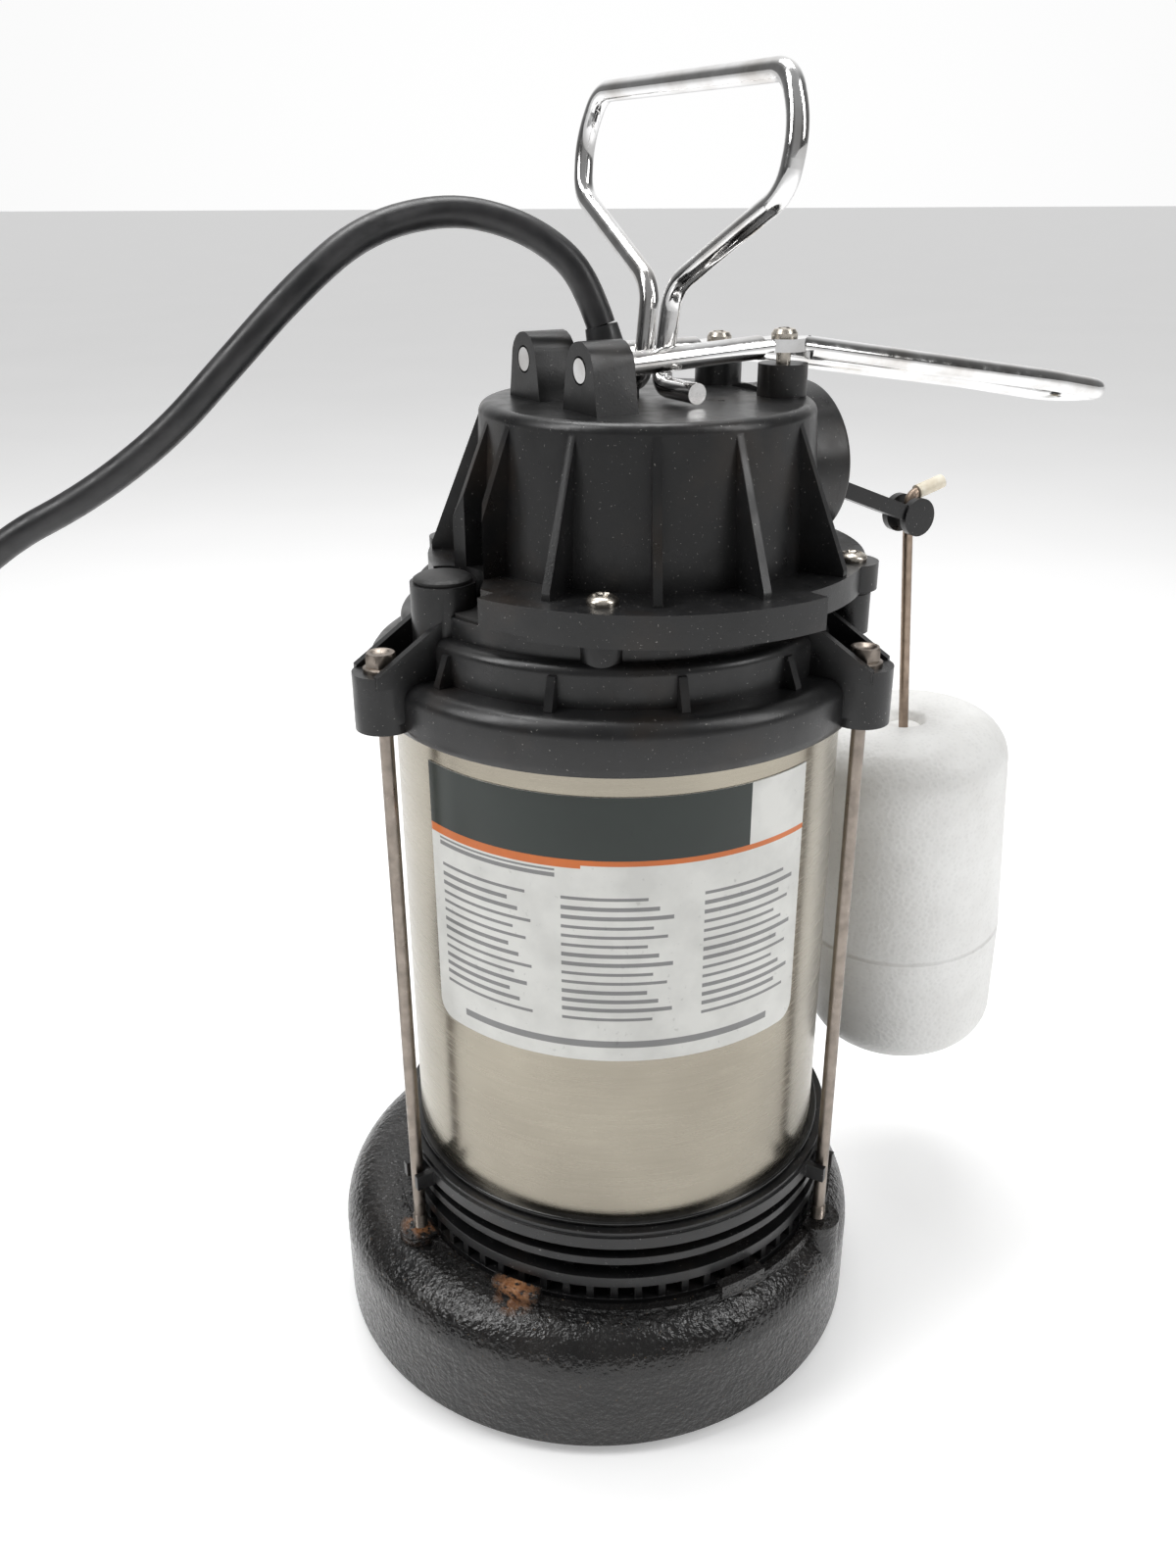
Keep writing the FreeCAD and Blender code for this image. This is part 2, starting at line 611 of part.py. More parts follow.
def tie_rods():
    rods = []
    for az in ROD_AZ:
        p = polar(ROD_CIRCLE_R, az)
        body = cyl(ROD_THREAD_R, ROD_BOTTOM, ROD_THREAD_TOP, p.x, p.y)
        body = body.fuse(cyl(ROD_R, ROD_THREAD_TOP, EAR_TOP, p.x, p.y))
        body = body.fuse(cyl(ROD_FLANGE_R, EAR_TOP, EAR_TOP + ROD_FLANGE_T, p.x, p.y))
        hex_bottom = EAR_TOP + ROD_FLANGE_T
        body = body.fuse(hexagon(ROD_HEX_AF, hex_bottom, hex_bottom + ROD_HEX_H, p.x, p.y))
        rods.append(body)
    return Part.makeCompound(rods)


# ---- switch cap -------------------------------------------------------------------------
def guard_ear(side):
    low = CAP_TOP - 2
    outline = [(-GUARD_EAR_HALF_W, low), (GUARD_EAR_HALF_W, low), (GUARD_EAR_HALF_W, CAP_TOP)]
    outline += arc_points(0, EAR_PIN_Z, GUARD_EAR_TOP_R, 0, 180, 10)
    outline += [(-GUARD_EAR_HALF_W, CAP_TOP)]
    corners = [vec(GUARD_EAR_START, side * GUARD_HALF + across, z) for across, z in outline]
    face = Part.Face(Part.makePolygon(corners + [corners[0]]))
    ear = face.extrude(vec(GUARD_EAR_END - GUARD_EAR_START, 0, 0))
    hole_start = vec(GUARD_EAR_START - 1, side * GUARD_HALF, EAR_PIN_Z)
    hole_end = vec(GUARD_EAR_END + 1, side * GUARD_HALF, EAR_PIN_Z)
    return ear.cut(rod(hole_start, hole_end, WIRE_R + GUARD_EAR_CLEAR))


def apron_sector(bottom):
    """The flange's deeper front part, as a wedge about the cap's own axis."""
    sector = Part.makeCylinder(CAP_APRON_R, CAP_FLANGE_TOP - bottom, vec(0, 0, bottom), vec(0, 0, 1),
                               CAP_APRON_END - CAP_APRON_START)
    sector.rotate(vec(0, 0, 0), vec(0, 0, 1), CAP_APRON_START)
    return sector


def switch_cap():
    """Built with its mirror line on +X about its own axis, then put in place."""
    flange = cyl(CAP_FLANGE_R, CAP_FLANGE_BOTTOM, CAP_FLANGE_TOP)
    flange = flange.fuse(apron_sector(CAP_FLANGE_BOTTOM))
    for offset in CAP_SCREW_OFFSETS:
        place = polar(CAP_SCREW_R, offset)
        flange = flange.fuse(cyl(SCREW_TAB_R, CAP_FLANGE_BOTTOM, CAP_FLANGE_TOP, place.x, place.y))
    flange = flange.removeSplitter()
    drum = Part.makeCone(DRUM_R, DRUM_TOP_R, CAP_TOP - CAP_FLANGE_TOP, vec(0, 0, CAP_FLANGE_TOP))
    drum = round_where(drum, CAP_EDGE_R, lambda edge: edge.Closed and abs(edge.CenterOfMass.z - CAP_TOP) < 0.1)
    body = flange.fuse(drum)
    housing_low = vec(DRUM_R - 16, 0, HOUSING_Z)
    housing_top = vec(HOUSING_FACE, 0, HOUSING_Z)
    housing = rod(housing_low, housing_top, HOUSING_R)
    body = body.fuse(housing)
    slope = [(DRUM_R - 4, CAP_FLANGE_TOP - 1), (DRUM_R + FIN_OUT, CAP_FLANGE_TOP - 1)]
    slope += [(DRUM_R + FIN_OUT, CAP_FLANGE_TOP + 2), (DRUM_TOP_R + 0.2, CAP_TOP - 4), (DRUM_R - 4, CAP_TOP - 4)]
    for offset in FIN_OFFSETS:
        body = body.fuse(rib(offset, slope, FIN_T))
    for side in (-1, 1):
        body = body.fuse(guard_ear(side))
        body = body.fuse(cyl(BOSS_R, HOUSING_Z, BOSS_TOP, BOSS_ALONG, side * GUARD_HALF))
    cavity_r = DRUM_TOP_R - CAP_WALL
    body = body.cut(cyl(cavity_r, CAP_FLANGE_BOTTOM - 1, CAP_TOP - CAP_WALL))
    body = body.cut(rod(housing_low - vec(6, 0, 0), housing_top, HOUSING_BORE_R))
    for side in (-1, 1):
        block = Part.makeBox(8, 6, 10, vec(ARM_PIVOT_RHO - 4, side * 17 - 3, HOUSING_Z - 5))
        body = body.fuse(block)
        pin_start = vec(ARM_PIVOT_RHO, side * 13, HOUSING_Z)
        pin_end = vec(ARM_PIVOT_RHO, side * 18.5, HOUSING_Z)
        body = body.cut(rod(pin_start, pin_end, ARM_PIN_R + SHAFT_FIT))
        body = body.cut(cyl(2.1, BOSS_TOP - 12, BOSS_TOP, BOSS_ALONG, side * GUARD_HALF))
    for offset in CAP_SCREW_OFFSETS:
        place = polar(CAP_SCREW_R, offset)
        body = body.cut(cyl(SCREW_SHANK_R + 0.3, CAP_FLANGE_BOTTOM, CAP_TOP, place.x, place.y))
    body = to_cap_frame(body)
    body = body.cut(cyl(CORD_R + 1.3, CAP_TOP - CAP_WALL, CAP_TOP, GLAND_X, GLAND_Y))
    oil = polar(OIL_CIRCLE_R, OIL_AZ)
    slot_h = CAP_TOP - 20 - CAP_FLANGE_BOTTOM
    oil_clear = cyl(OIL_SLOT_R, CAP_FLANGE_BOTTOM - 1, CAP_TOP - 21, oil.x, oil.y)
    outward = Part.makeBox(2 * OIL_SLOT_R, 60, slot_h, vec(oil.x - OIL_SLOT_R, oil.y - 60, CAP_FLANGE_BOTTOM - 1))
    oil_clear = oil_clear.fuse(outward)
    outside_drum = oil_clear.cut(cyl(DRUM_R, CAP_FLANGE_BOTTOM - 1, CAP_TOP, CAP_X, CAP_Y))
    lip = ring(CAP_APRON_R, CAP_APRON_R - 4, CAP_FLANGE_BOTTOM - CAP_APRON_LIP, CAP_FLANGE_BOTTOM + 1)
    lip = to_cap_frame(lip.common(apron_sector(CAP_FLANGE_BOTTOM - CAP_APRON_LIP)))
    lip = lip.cut(cyl(BELL_NECK_R + 0.6, BELL_DECK - 2, CAP_FLANGE_TOP))
    return body.fuse(lip).cut(outside_drum)


def screw(place, seat_z, head_r, head_h, shank_r, length):
    dome = [(0, seat_z), (head_r, seat_z), (head_r, seat_z + 0.45 * head_h)]
    dome += [(0.8 * head_r, seat_z + 0.85 * head_h), (0.4 * head_r, seat_z + head_h), (0, seat_z + head_h)]
    body = turned(dome, place.x, place.y)
    body = body.fuse(cyl(shank_r, seat_z - length, seat_z, place.x, place.y))
    slot_z = seat_z + 0.35 * head_h
    for az in (25.0, 115.0):
        body = body.cut(bar(az, -0.55 * head_r, 0.55 * head_r, 1.0, slot_z, seat_z + head_h, place.x, place.y))
    return body


def cap_screws():
    seat = CAP_FLANGE_TOP
    length = seat - 259.0
    screws = [screw(p, seat, SCREW_HEAD_R, SCREW_HEAD_H, SCREW_SHANK_R, length) for p in cap_screw_places()]
    return Part.makeCompound(screws)


def cap_gasket():
    body = ring(BELL_NECK_R - 5.6, DRUM_R - 2, BELL_DECK, CAP_FLANGE_BOTTOM)
    oil = polar(OIL_CIRCLE_R, OIL_AZ)
    body = body.cut(cyl(OIL_BOSS_R + 0.3, BELL_DECK, CAP_FLANGE_BOTTOM, oil.x, oil.y))
    for place in cap_screw_places():
        body = body.cut(cyl(SCREW_SHANK_R + 0.3, BELL_DECK, CAP_FLANGE_BOTTOM, place.x, place.y))
    return body


# ---- float switch -----------------------------------------------------------------------
def arm_z(rho):
    """Height of the arm's middle line in its low position."""
    return HOUSING_Z - (rho - ARM_PIVOT_RHO) * math.tan(math.radians(ARM_SLOPE_DEG))


def diaphragm():
    body = rod(vec(HOUSING_FACE - BOOT_T, 0, HOUSING_Z), vec(HOUSING_FACE, 0, HOUSING_Z), HOUSING_BORE_R)
    crown = Part.makeTorus(11.0, 2.2, vec(HOUSING_FACE, 0, HOUSING_Z), vec(1, 0, 0))
    body = body.fuse(crown)
    low = arm_z(HOUSING_FACE + 3) - ARM_T / 2 - 2.2
    high = HOUSING_Z + ARM_T / 2 + 1.0
    width = ARM_W + 2 * BODY_GAP
    slot = Part.makeBox(BOOT_T + 8, width, high - low, vec(HOUSING_FACE - BOOT_T - 3, -width / 2, low))
    return to_cap_frame(body.cut(slot))


def housing_ring():
    start = vec(HOUSING_FACE, 0, HOUSING_Z)
    end = vec(HOUSING_FACE + HOUSING_RING_T, 0, HOUSING_Z)
    body = rod(start, end, HOUSING_R).cut(rod(start, end, HOUSING_RING_BORE_R))
    rounded = [edge for edge in body.Edges if edge.Closed and abs(edge.CenterOfMass.x - end.x) < 0.1
               and edge.Length > 2 * math.pi * HOUSING_BORE_R]
    body = body.makeFillet(1.4, rounded)
    clear_low = HOUSING_Z - HOUSING_R - 1
    flange_top = CAP_FLANGE_TOP + 0.3
    under = Part.makeBox(20, 80, flange_top - clear_low, vec(HOUSING_FACE - 5, -40, clear_low))
    return to_cap_frame(body.cut(under))


def tilted(shape):
    """Turn a shape drawn level with the pivot down to the arm's low position."""
    shape.rotate(vec(ARM_PIVOT_RHO, 0, HOUSING_Z), vec(0, 1, 0), ARM_SLOPE_DEG)
    return to_cap_frame(shape)


def float_arm():
    yoke_x = ARM_PIVOT_RHO + ARM_LENGTH
    bar_end = yoke_x - 4.3
    body = Part.makeBox(bar_end - ARM_TAIL_RHO, ARM_W, ARM_T, vec(ARM_TAIL_RHO, -ARM_W / 2, HOUSING_Z - ARM_T / 2))
    groove = Part.makeBox(bar_end - HOUSING_FACE - 12, ARM_W - 4.4, 2.2,
                          vec(HOUSING_FACE + 6, -ARM_W / 2 + 2.2, HOUSING_Z + ARM_T / 2 - 2.2))
    body = body.cut(groove)
    half = YOKE_GAP / 2
    for side in (-1, 1):
        inner = side * half
        outer = side * (half + YOKE_CHEEK_T)
        body = body.fuse(rod(vec(yoke_x, inner, HOUSING_Z), vec(yoke_x, outer, HOUSING_Z), YOKE_R))
    saddle = rod(vec(yoke_x + 4.4, -half, HOUSING_Z - 0.5), vec(yoke_x + 4.4, half, HOUSING_Z - 0.5), 1.4)
    body = body.fuse(saddle)
    pin_hole = rod(vec(ARM_PIVOT_RHO, -20, HOUSING_Z), vec(ARM_PIVOT_RHO, 20, HOUSING_Z), ARM_PIN_R)
    return tilted(body.cut(pin_hole))


def arm_pin():
    start = vec(ARM_PIVOT_RHO, -18, HOUSING_Z)
    end = vec(ARM_PIVOT_RHO, 18, HOUSING_Z)
    return to_cap_frame(rod(start, end, ARM_PIN_R))


def swung(shape):
    """Turn a shape drawn on the upright rod line about the yoke, the way the rod hangs."""
    shape.rotate(vec(YOKE_RHO, 0, YOKE_Z), vec(0, 1, 0), -FLOAT_SWING_DEG)
    return to_cap_frame(shape)


def float_rod():
    bottom = vec(YOKE_RHO, 0, FLOAT_ROD_BOTTOM)
    top = vec(YOKE_RHO, 0, YOKE_Z + HOOK_RISE)
    tip = vec(YOKE_RHO + HOOK_LENGTH, 0, YOKE_Z + HOOK_RISE + 2)
    path = bent_path([bottom, top, tip], [4.0])
    return swung(tube(path, bottom, top, FLOAT_ROD_R))


def hook_sleeve():
    tip = vec(YOKE_RHO + HOOK_LENGTH, 0, YOKE_Z + HOOK_RISE + 2)
    top = vec(YOKE_RHO, 0, YOKE_Z + HOOK_RISE)
    back = (top - tip).normalize()
    start = tip + back * SLEEVE_LENGTH
    body = rod(start, tip - back, SLEEVE_R)
    return swung(body.cut(rod(start, tip, FLOAT_ROD_R)))


def float_stop():
    top = FLOAT_BOTTOM - 0.3
    body = cyl(STOP_R, top - STOP_H, top, YOKE_RHO)
    body = round_where(body, 1.6, lambda edge: edge.Closed)
    return swung(body.cut(cyl(FLOAT_ROD_R, 0, 300, YOKE_RHO)))


def float_body():
    outline = [(0, FLOAT_BOTTOM + 3), (9, FLOAT_BOTTOM)]
    outline += arc_points(FLOAT_R - 17, FLOAT_BOTTOM + 15, 15, 270, 360, 8)
    seam = FLOAT_BOTTOM + 0.38 * (FLOAT_TOP - FLOAT_BOTTOM)
    outline += [(FLOAT_R, seam)]
    outline += arc_points(FLOAT_R - 15, FLOAT_TOP - 15, 15, 0, 90, 8)
    outline += [(9, FLOAT_TOP), (6, FLOAT_TOP - 4), (0, FLOAT_TOP - 4)]
    body = turned(outline, YOKE_RHO)
    bore = FLOAT_ROD_R + FLOAT_BORE_CLEAR
    return swung(body.cut(cyl(bore, 0, FLOAT_TOP + 1, YOKE_RHO)))


PLUNGER_RHO = 41.1
PLUNGER_TOP = 296.8
SWITCH_TOP = 294.0


def micro_switch():
    body = Part.makeBox(18, 13, 10, vec(PLUNGER_RHO - 13, -6.5, SWITCH_TOP - 10))
    body = body.cut(rod(vec(PLUNGER_RHO, 0, SWITCH_TOP - 7), vec(PLUNGER_RHO, 0, SWITCH_TOP), 2.06))
    for rho in (PLUNGER_RHO - 10, PLUNGER_RHO - 4):
        body = body.fuse(Part.makeBox(1, 5, 5, vec(rho, -2.5, SWITCH_TOP - 15)))
    return to_cap_frame(body)


def switch_plunger():
    return to_cap_frame(cyl(2.0, SWITCH_TOP - 4, PLUNGER_TOP, PLUNGER_RHO))


def switch_bracket():
    roof = CAP_TOP - CAP_WALL
    plate = Part.makeBox(10, 1.6, roof - SWITCH_TOP + 10, vec(PLUNGER_RHO - 13, 6.5, SWITCH_TOP - 10))
    foot = Part.makeBox(10, 8, 1.6, vec(PLUNGER_RHO - 13, 6.5, roof - 1.6))
    return to_cap_frame(plate.fuse(foot))


# ---- wiring parts in the cap ------------------------------------------------------------
CAPACITOR_X = -15.0
CAPACITOR_Y = 13.0
CAPACITOR_R = 16.0


def capacitor():
    body = cyl(CAPACITOR_R, BELL_DECK, BELL_DECK + 38, CAPACITOR_X, CAPACITOR_Y)
    body = round_where(body, 2.0, lambda edge: edge.Closed and edge.CenterOfMass.z > BELL_DECK + 30)
    for side in (-4, 4):
        body = body.fuse(Part.makeBox(1, 6, 7, vec(CAPACITOR_X + side, CAPACITOR_Y - 3, BELL_DECK + 37)))
    return body


def capacitor_clip():
    body = ring(CAPACITOR_R + 1.4, CAPACITOR_R, BELL_DECK, BELL_DECK + 12, CAPACITOR_X, CAPACITOR_Y)
    gap = bar(200, 0, 30, 12, BELL_DECK, BELL_DECK + 12, CAPACITOR_X, CAPACITOR_Y)
    return body.cut(gap)


def terminal_block():
    body = Part.makeBox(28, 12, 10, vec(-8, -38, BELL_DECK))
    for i in range(3):
        body = body.cut(cyl(2.4, BELL_DECK + 4, BELL_DECK + 10, -3.2 + 9.2 * i, -32))
    return body


# ---- guard loop and bail ----------------------------------------------------------------
def guard_points():
    near_z = BOSS_TOP + WAIST_HALF_T + GUARD_NEAR_LIFT
    far_z = BOSS_TOP + WAIST_HALF_T
    knee = GUARD_REACH - 36
    wide = GUARD_HALF + 2.5
    points = [(GUARD_EAR_START, GUARD_HALF, EAR_PIN_Z), (BOSS_ALONG, GUARD_HALF, near_z)]
    points += [(knee, wide, near_z - 0.72 * GUARD_DROP), (GUARD_REACH, wide - 7, near_z - GUARD_DROP)]
    points += [(GUARD_REACH, 7 - wide, far_z - GUARD_DROP), (knee, -wide, far_z - 0.72 * GUARD_DROP)]
    points += [(BOSS_ALONG, -GUARD_HALF, far_z), (GUARD_EAR_START, -GUARD_HALF, EAR_PIN_Z)]
    return points


def guard_loop():
    places = guard_points()
    points = [on_handle(*place) for place in places]
    path = bent_path(points, [60.0, 60.0, 11.0, 11.0, 60.0, 60.0])
    body = tube(path, points[0], points[1], WIRE_R)
    for along, across, z in (places[1], places[6]):
        centre = on_handle(along, across, z)
        for offset in (WAIST_HALF_T, -WAIST_HALF_T - 5):
            body = body.cut(cyl(WAIST_R + 2.6, z + offset, z + offset + 5, centre.x, centre.y))
        body = body.fuse(cyl(WAIST_R, z - WAIST_HALF_T, z + WAIST_HALF_T, centre.x, centre.y))
        body = body.cut(cyl(2.4, z - 5, z + 5, centre.x, centre.y))
    return body


def guard_screws():
    screws = []
    for along, across, z in (guard_points()[1], guard_points()[6]):
        place = on_handle(along, across, 0)
        seat = z + WAIST_HALF_T
        length = seat - BOSS_TOP + 11
        screws.append(screw(place, seat, GUARD_SCREW_HEAD_R, GUARD_SCREW_HEAD_H, 2.1, length))
    return Part.makeCompound(screws)


def carry_bail():
    half_outline = [(BAIL_FOOT_HALF, 0), (BAIL_LEG_HALF, 0), (BAIL_LEG_HALF + 0.8, 27)]
    half_outline += [(51.5, 51.0), (53.5, 66.0), (46.5, 79.0)]
    outline = half_outline + [(-across, rise) for across, rise in reversed(half_outline)]
    lean = math.radians(BAIL_LEAN_DEG)
    points = []
    for across, rise in outline:
        along = BAIL_ALONG + rise * math.sin(lean)
        points.append(on_handle(along, across, BAIL_FOOT_Z + rise * math.cos(lean)))
    radii = [4.5, 11.0, 11.0, 22.0, 9.0]
    path = bent_path(points, radii + radii[::-1])
    return tube(path, points[0], points[1], BAIL_WIRE_R)


# ---- cord -------------------------------------------------------------------------------
RELIEF_END = vec(-5.0, 0.8, 341.5)
CORD_ROUTE = [
    RELIEF_END, vec(-9, 2, 352.5), vec(-16.5, 3.2, 361.5), vec(-30, 4, 369), vec(-48, 1.5, 372.5),
    vec(-69, -11, 367.5),
    vec(-86, -24, 353), vec(-104, -31, 334.5), vec(-123, -32, 316), vec(-148, -31, 299),
    vec(-174, -31, 286.5), vec(-197, -33, 266), vec(-215, -37, 236), vec(-229, -42, 200),
    vec(-240, -49, 162), vec(-249, -57, 123), vec(-256, -63, 85), vec(-261, -61, 50),
    vec(-264, -44, 22), vec(-264.5, -17, 8),
]


def cord_radii(points):
    radii = []
    for i in range(1, len(points) - 1):
        back = points[i] - points[i - 1]
        ahead = points[i + 1] - points[i]
        turn = back.getAngle(ahead)
        radii.append(0.45 * min(back.Length, ahead.Length) / math.tan(turn / 2))
    return radii


def power_cord():
    radii = cord_radii(CORD_ROUTE)
    print("cord bend radii", [round(r) for r in radii])
    path = bent_path(CORD_ROUTE, radii)
    body = tube(path, CORD_ROUTE[0], CORD_ROUTE[1], CORD_R)
    swept = math.pi * CORD_R ** 2 * path.Length
    print("cord length", round(path.Length, 1), "volume share", round(body.Volume / swept, 4))
    return body


def cord_coil():
    half_w = COIL_TURNS_WIDE * CORD_R
    height = COIL_TURNS_HIGH * 2 * CORD_R
    edge = CORD_R * 0.9
    inner = COIL_MEAN_R - half_w
    outer = COIL_MEAN_R + half_w
    outline = arc_points(outer - edge, height - edge, edge, 0, 90, 4)
    outline += arc_points(inner + edge, height - edge, edge, 90, 180, 4)
    outline += arc_points(inner + edge, edge, edge, 180, 270, 4)
    outline += arc_points(outer - edge, edge, edge, 270, 360, 4)
    return turned(outline, COIL_X, COIL_Y)


def cord_gland():
    nut = hexagon(2 * GLAND_R, CAP_TOP, GLAND_TOP - 1.2, GLAND_X, GLAND_Y)
    body = nut.fuse(cyl(GLAND_R - 1, GLAND_TOP - 1.2, GLAND_TOP, GLAND_X, GLAND_Y))
    body = body.fuse(cyl(CORD_R + 1.3, CAP_TOP - CAP_WALL - 4, CAP_TOP, GLAND_X, GLAND_Y))
    return body


def strain_relief():
    start = vec(GLAND_X, GLAND_Y, GLAND_TOP)
    run = RELIEF_END - start
    body = Part.makeCone(CORD_R + 2.4, CORD_R + 0.5, run.Length, start, run)
    return body.cut(cyl(20, GLAND_TOP - 5, GLAND_TOP, GLAND_X, GLAND_Y))


LAST_TURN_R = COIL_MEAN_R + (COIL_TURNS_WIDE - 1) * CORD_R
PLUG_X = COIL_X - LAST_TURN_R
PLUG_BACK_Y = COIL_Y - 56.0
PLUG_Z = PLUG_H / 2 + 0.2


def cord_tail():
    start = vec(PLUG_X, COIL_Y - 4, 3 * CORD_R)
    end = vec(PLUG_X, PLUG_BACK_Y + 20, PLUG_Z)
    return rod(start, end, CORD_R)


def plug_body():
    start = vec(PLUG_X, PLUG_BACK_Y + 20, PLUG_Z)
    relief = Part.makeCone(CORD_R + 0.4, 8.0, 20, start, vec(0, -1, 0))
    block = Part.makeBox(PLUG_W, PLUG_L, PLUG_H, vec(PLUG_X - PLUG_W / 2, PLUG_BACK_Y - PLUG_L, 0.2))
    block = block.makeFillet(4.0, block.Edges)
    return block.fuse(relief)


def plug_blades():
    face_y = PLUG_BACK_Y - PLUG_L
    pins = []
    for side in (-1, 1):
        pins.append(Part.makeBox(1.5, 18, 6.4, vec(PLUG_X + side * 6.35 - 0.75, face_y - 17, PLUG_Z - 1.2)))
    start = vec(PLUG_X, face_y + 1, PLUG_Z - 6.0)
    pins.append(rod(start, start + vec(0, -21, 0), 2.4))
    return Part.makeCompound(pins)


# ---- write every sub-part ---------------------------------------------------------------
os.makedirs("parts", exist_ok=True)
save("volute_base", volute_base())
save("suction_cover", suction_cover())
save("cover_screws", cover_screws())
save("intake_screen", intake_screen())
save("seal_plate", seal_plate())
save("seal_seat", ring(15, SHAFT_R + 1, 68, 76))
save("lower_gasket", ring(SHELL_R + GASKET_PROUD, SHELL_INNER_R, SCREEN_TOP, SHELL_BOTTOM))
save("motor_shell", ring(SHELL_R, SHELL_INNER_R, SHELL_BOTTOM, SHELL_TOP))
save("upper_gasket", ring(SHELL_R + 2.2, SHELL_INNER_R, SHELL_TOP, SHELL_TOP + GASKET_T))
save("label_plate", label_plate())
save("lower_bearing", ball_bearing(LOWER_BEARING_Z, BEARING_H))
save("upper_bearing", ball_bearing(UPPER_BEARING_Z, BEARING_H))
save("upper_bracket", upper_bracket())
save("stator_core", stator_core())
save("lower_winding", winding(ROTOR_BOTTOM - WINDING_H, ROTOR_BOTTOM))
save("upper_winding", winding(ROTOR_TOP, ROTOR_TOP + WINDING_H))
save("end_bell", end_bell())
save("oil_plug", oil_plug())
save("tie_rods", tie_rods())
save("cap_gasket", cap_gasket())
save("switch_cap", switch_cap())
save("cap_screws", cap_screws())
save("diaphragm", diaphragm())
save("housing_ring", housing_ring())
save("micro_switch", micro_switch())
save("switch_bracket", switch_bracket())
save("capacitor", capacitor())
save("capacitor_clip", capacitor_clip())
save("terminal_block", terminal_block())
save("guard_loop", guard_loop())
save("guard_screws", guard_screws())
save("cord_gland", cord_gland())
save("strain_relief", strain_relief())
save("power_cord", power_cord())
save("cord_coil", cord_coil())
save("cord_tail", cord_tail())
save("plug_body", plug_body())
save("plug_blades", plug_blades())
save("shaft", shaft())
save("rotor_core", rotor_core())
save("lower_end_ring", rotor_end_ring(ROTOR_BOTTOM - 4, ROTOR_BOTTOM + 2, ROTOR_BOTTOM - 9, ROTOR_BOTTOM - 4))
save("upper_end_ring", rotor_end_ring(ROTOR_TOP - 2, ROTOR_TOP + 4, ROTOR_TOP + 4, ROTOR_TOP + 9))
save("impeller", impeller())
save("impeller_nut", impeller_nut())
save("seal_head", ring(12, SHAFT_R, 56, 68 - SHAFT_FIT))
save("seal_spring", seal_spring())
save("float_arm", float_arm())
save("arm_pin", arm_pin())
save("float_rod", float_rod())
save("hook_sleeve", hook_sleeve())
save("float_stop", float_stop())
save("float", float_body())
save("switch_plunger", switch_plunger())
save("carry_bail", carry_bail())
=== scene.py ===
import math

import bmesh
import bpy
from mathutils import Matrix, Vector


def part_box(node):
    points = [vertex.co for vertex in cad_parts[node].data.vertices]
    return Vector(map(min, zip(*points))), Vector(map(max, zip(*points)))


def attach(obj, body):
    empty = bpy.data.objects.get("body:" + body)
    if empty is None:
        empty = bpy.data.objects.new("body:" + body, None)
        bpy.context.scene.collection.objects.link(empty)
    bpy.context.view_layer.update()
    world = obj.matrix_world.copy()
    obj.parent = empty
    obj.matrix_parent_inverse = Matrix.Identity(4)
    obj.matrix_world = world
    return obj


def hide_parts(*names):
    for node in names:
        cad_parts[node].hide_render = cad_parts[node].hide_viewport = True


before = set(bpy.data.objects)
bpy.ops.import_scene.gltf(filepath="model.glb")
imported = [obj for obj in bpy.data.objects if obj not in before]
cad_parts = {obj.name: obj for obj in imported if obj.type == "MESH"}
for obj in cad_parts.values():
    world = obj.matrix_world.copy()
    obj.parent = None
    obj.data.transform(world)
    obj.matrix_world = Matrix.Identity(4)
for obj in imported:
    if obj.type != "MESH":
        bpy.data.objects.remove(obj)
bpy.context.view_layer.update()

# ---- Studio: floor, light and camera ------------------------------------------------------
# The pump stands on a pale floor in a white room. Big soft lights stand left, right and
# above; the room's darker sides give the round metal its soft upright bands.
FLOOR_HALF = 40.0
FLOOR_COLOUR = (0.86, 0.86, 0.855)
FLOOR_GLOW = 0.3
CAMERA_PLACE = (0.0, -0.39755, 0.37576)
CAMERA_PITCH = math.radians(23.975)
CAMERA_YAW = 0.02358
CAMERA_ROLL = -0.0048
CAMERA_LENS = 40.606
SENSOR_WIDTH = 36.0
ROOM_CENTRE = (0, 0, 0.2)
LIGHTS = (
    ("left_panel", (-0.75, -0.30, 1.0), 0.35, 0.9, 7),
    ("right_panel", (0.85, -0.35, 0.9), 0.3, 0.9, 5),
    ("top_panel", (-0.1, 0.35, 1.5), 0.9, 0.6, 12),
)
MIX_FIRST, MIX_SECOND, MIX_RESULT = 6, 7, 2  # the colour sockets of a Mix node, in Blender's order


def new_piece(name, mesh):
    piece = bpy.data.objects.new(name, mesh)
    bpy.context.scene.collection.objects.link(piece)
    return piece


def new_material(name, colour, roughness, metallic=0.0):
    material = bpy.data.materials.new(name)
    material.use_nodes = True
    shader = material.node_tree.nodes["Principled BSDF"]
    shader.inputs["Base Color"].default_value = (*colour, 1)
    shader.inputs["Roughness"].default_value = roughness
    shader.inputs["Metallic"].default_value = metallic
    return material, material.node_tree, shader


def add_node(tree, kind, **values):
    node = tree.nodes.new(kind)
    for key, value in values.items():
        if key in node.bl_rna.properties:
            setattr(node, key, value)
        else:
            node.inputs[key.replace("_", " ")].default_value = value
    return node


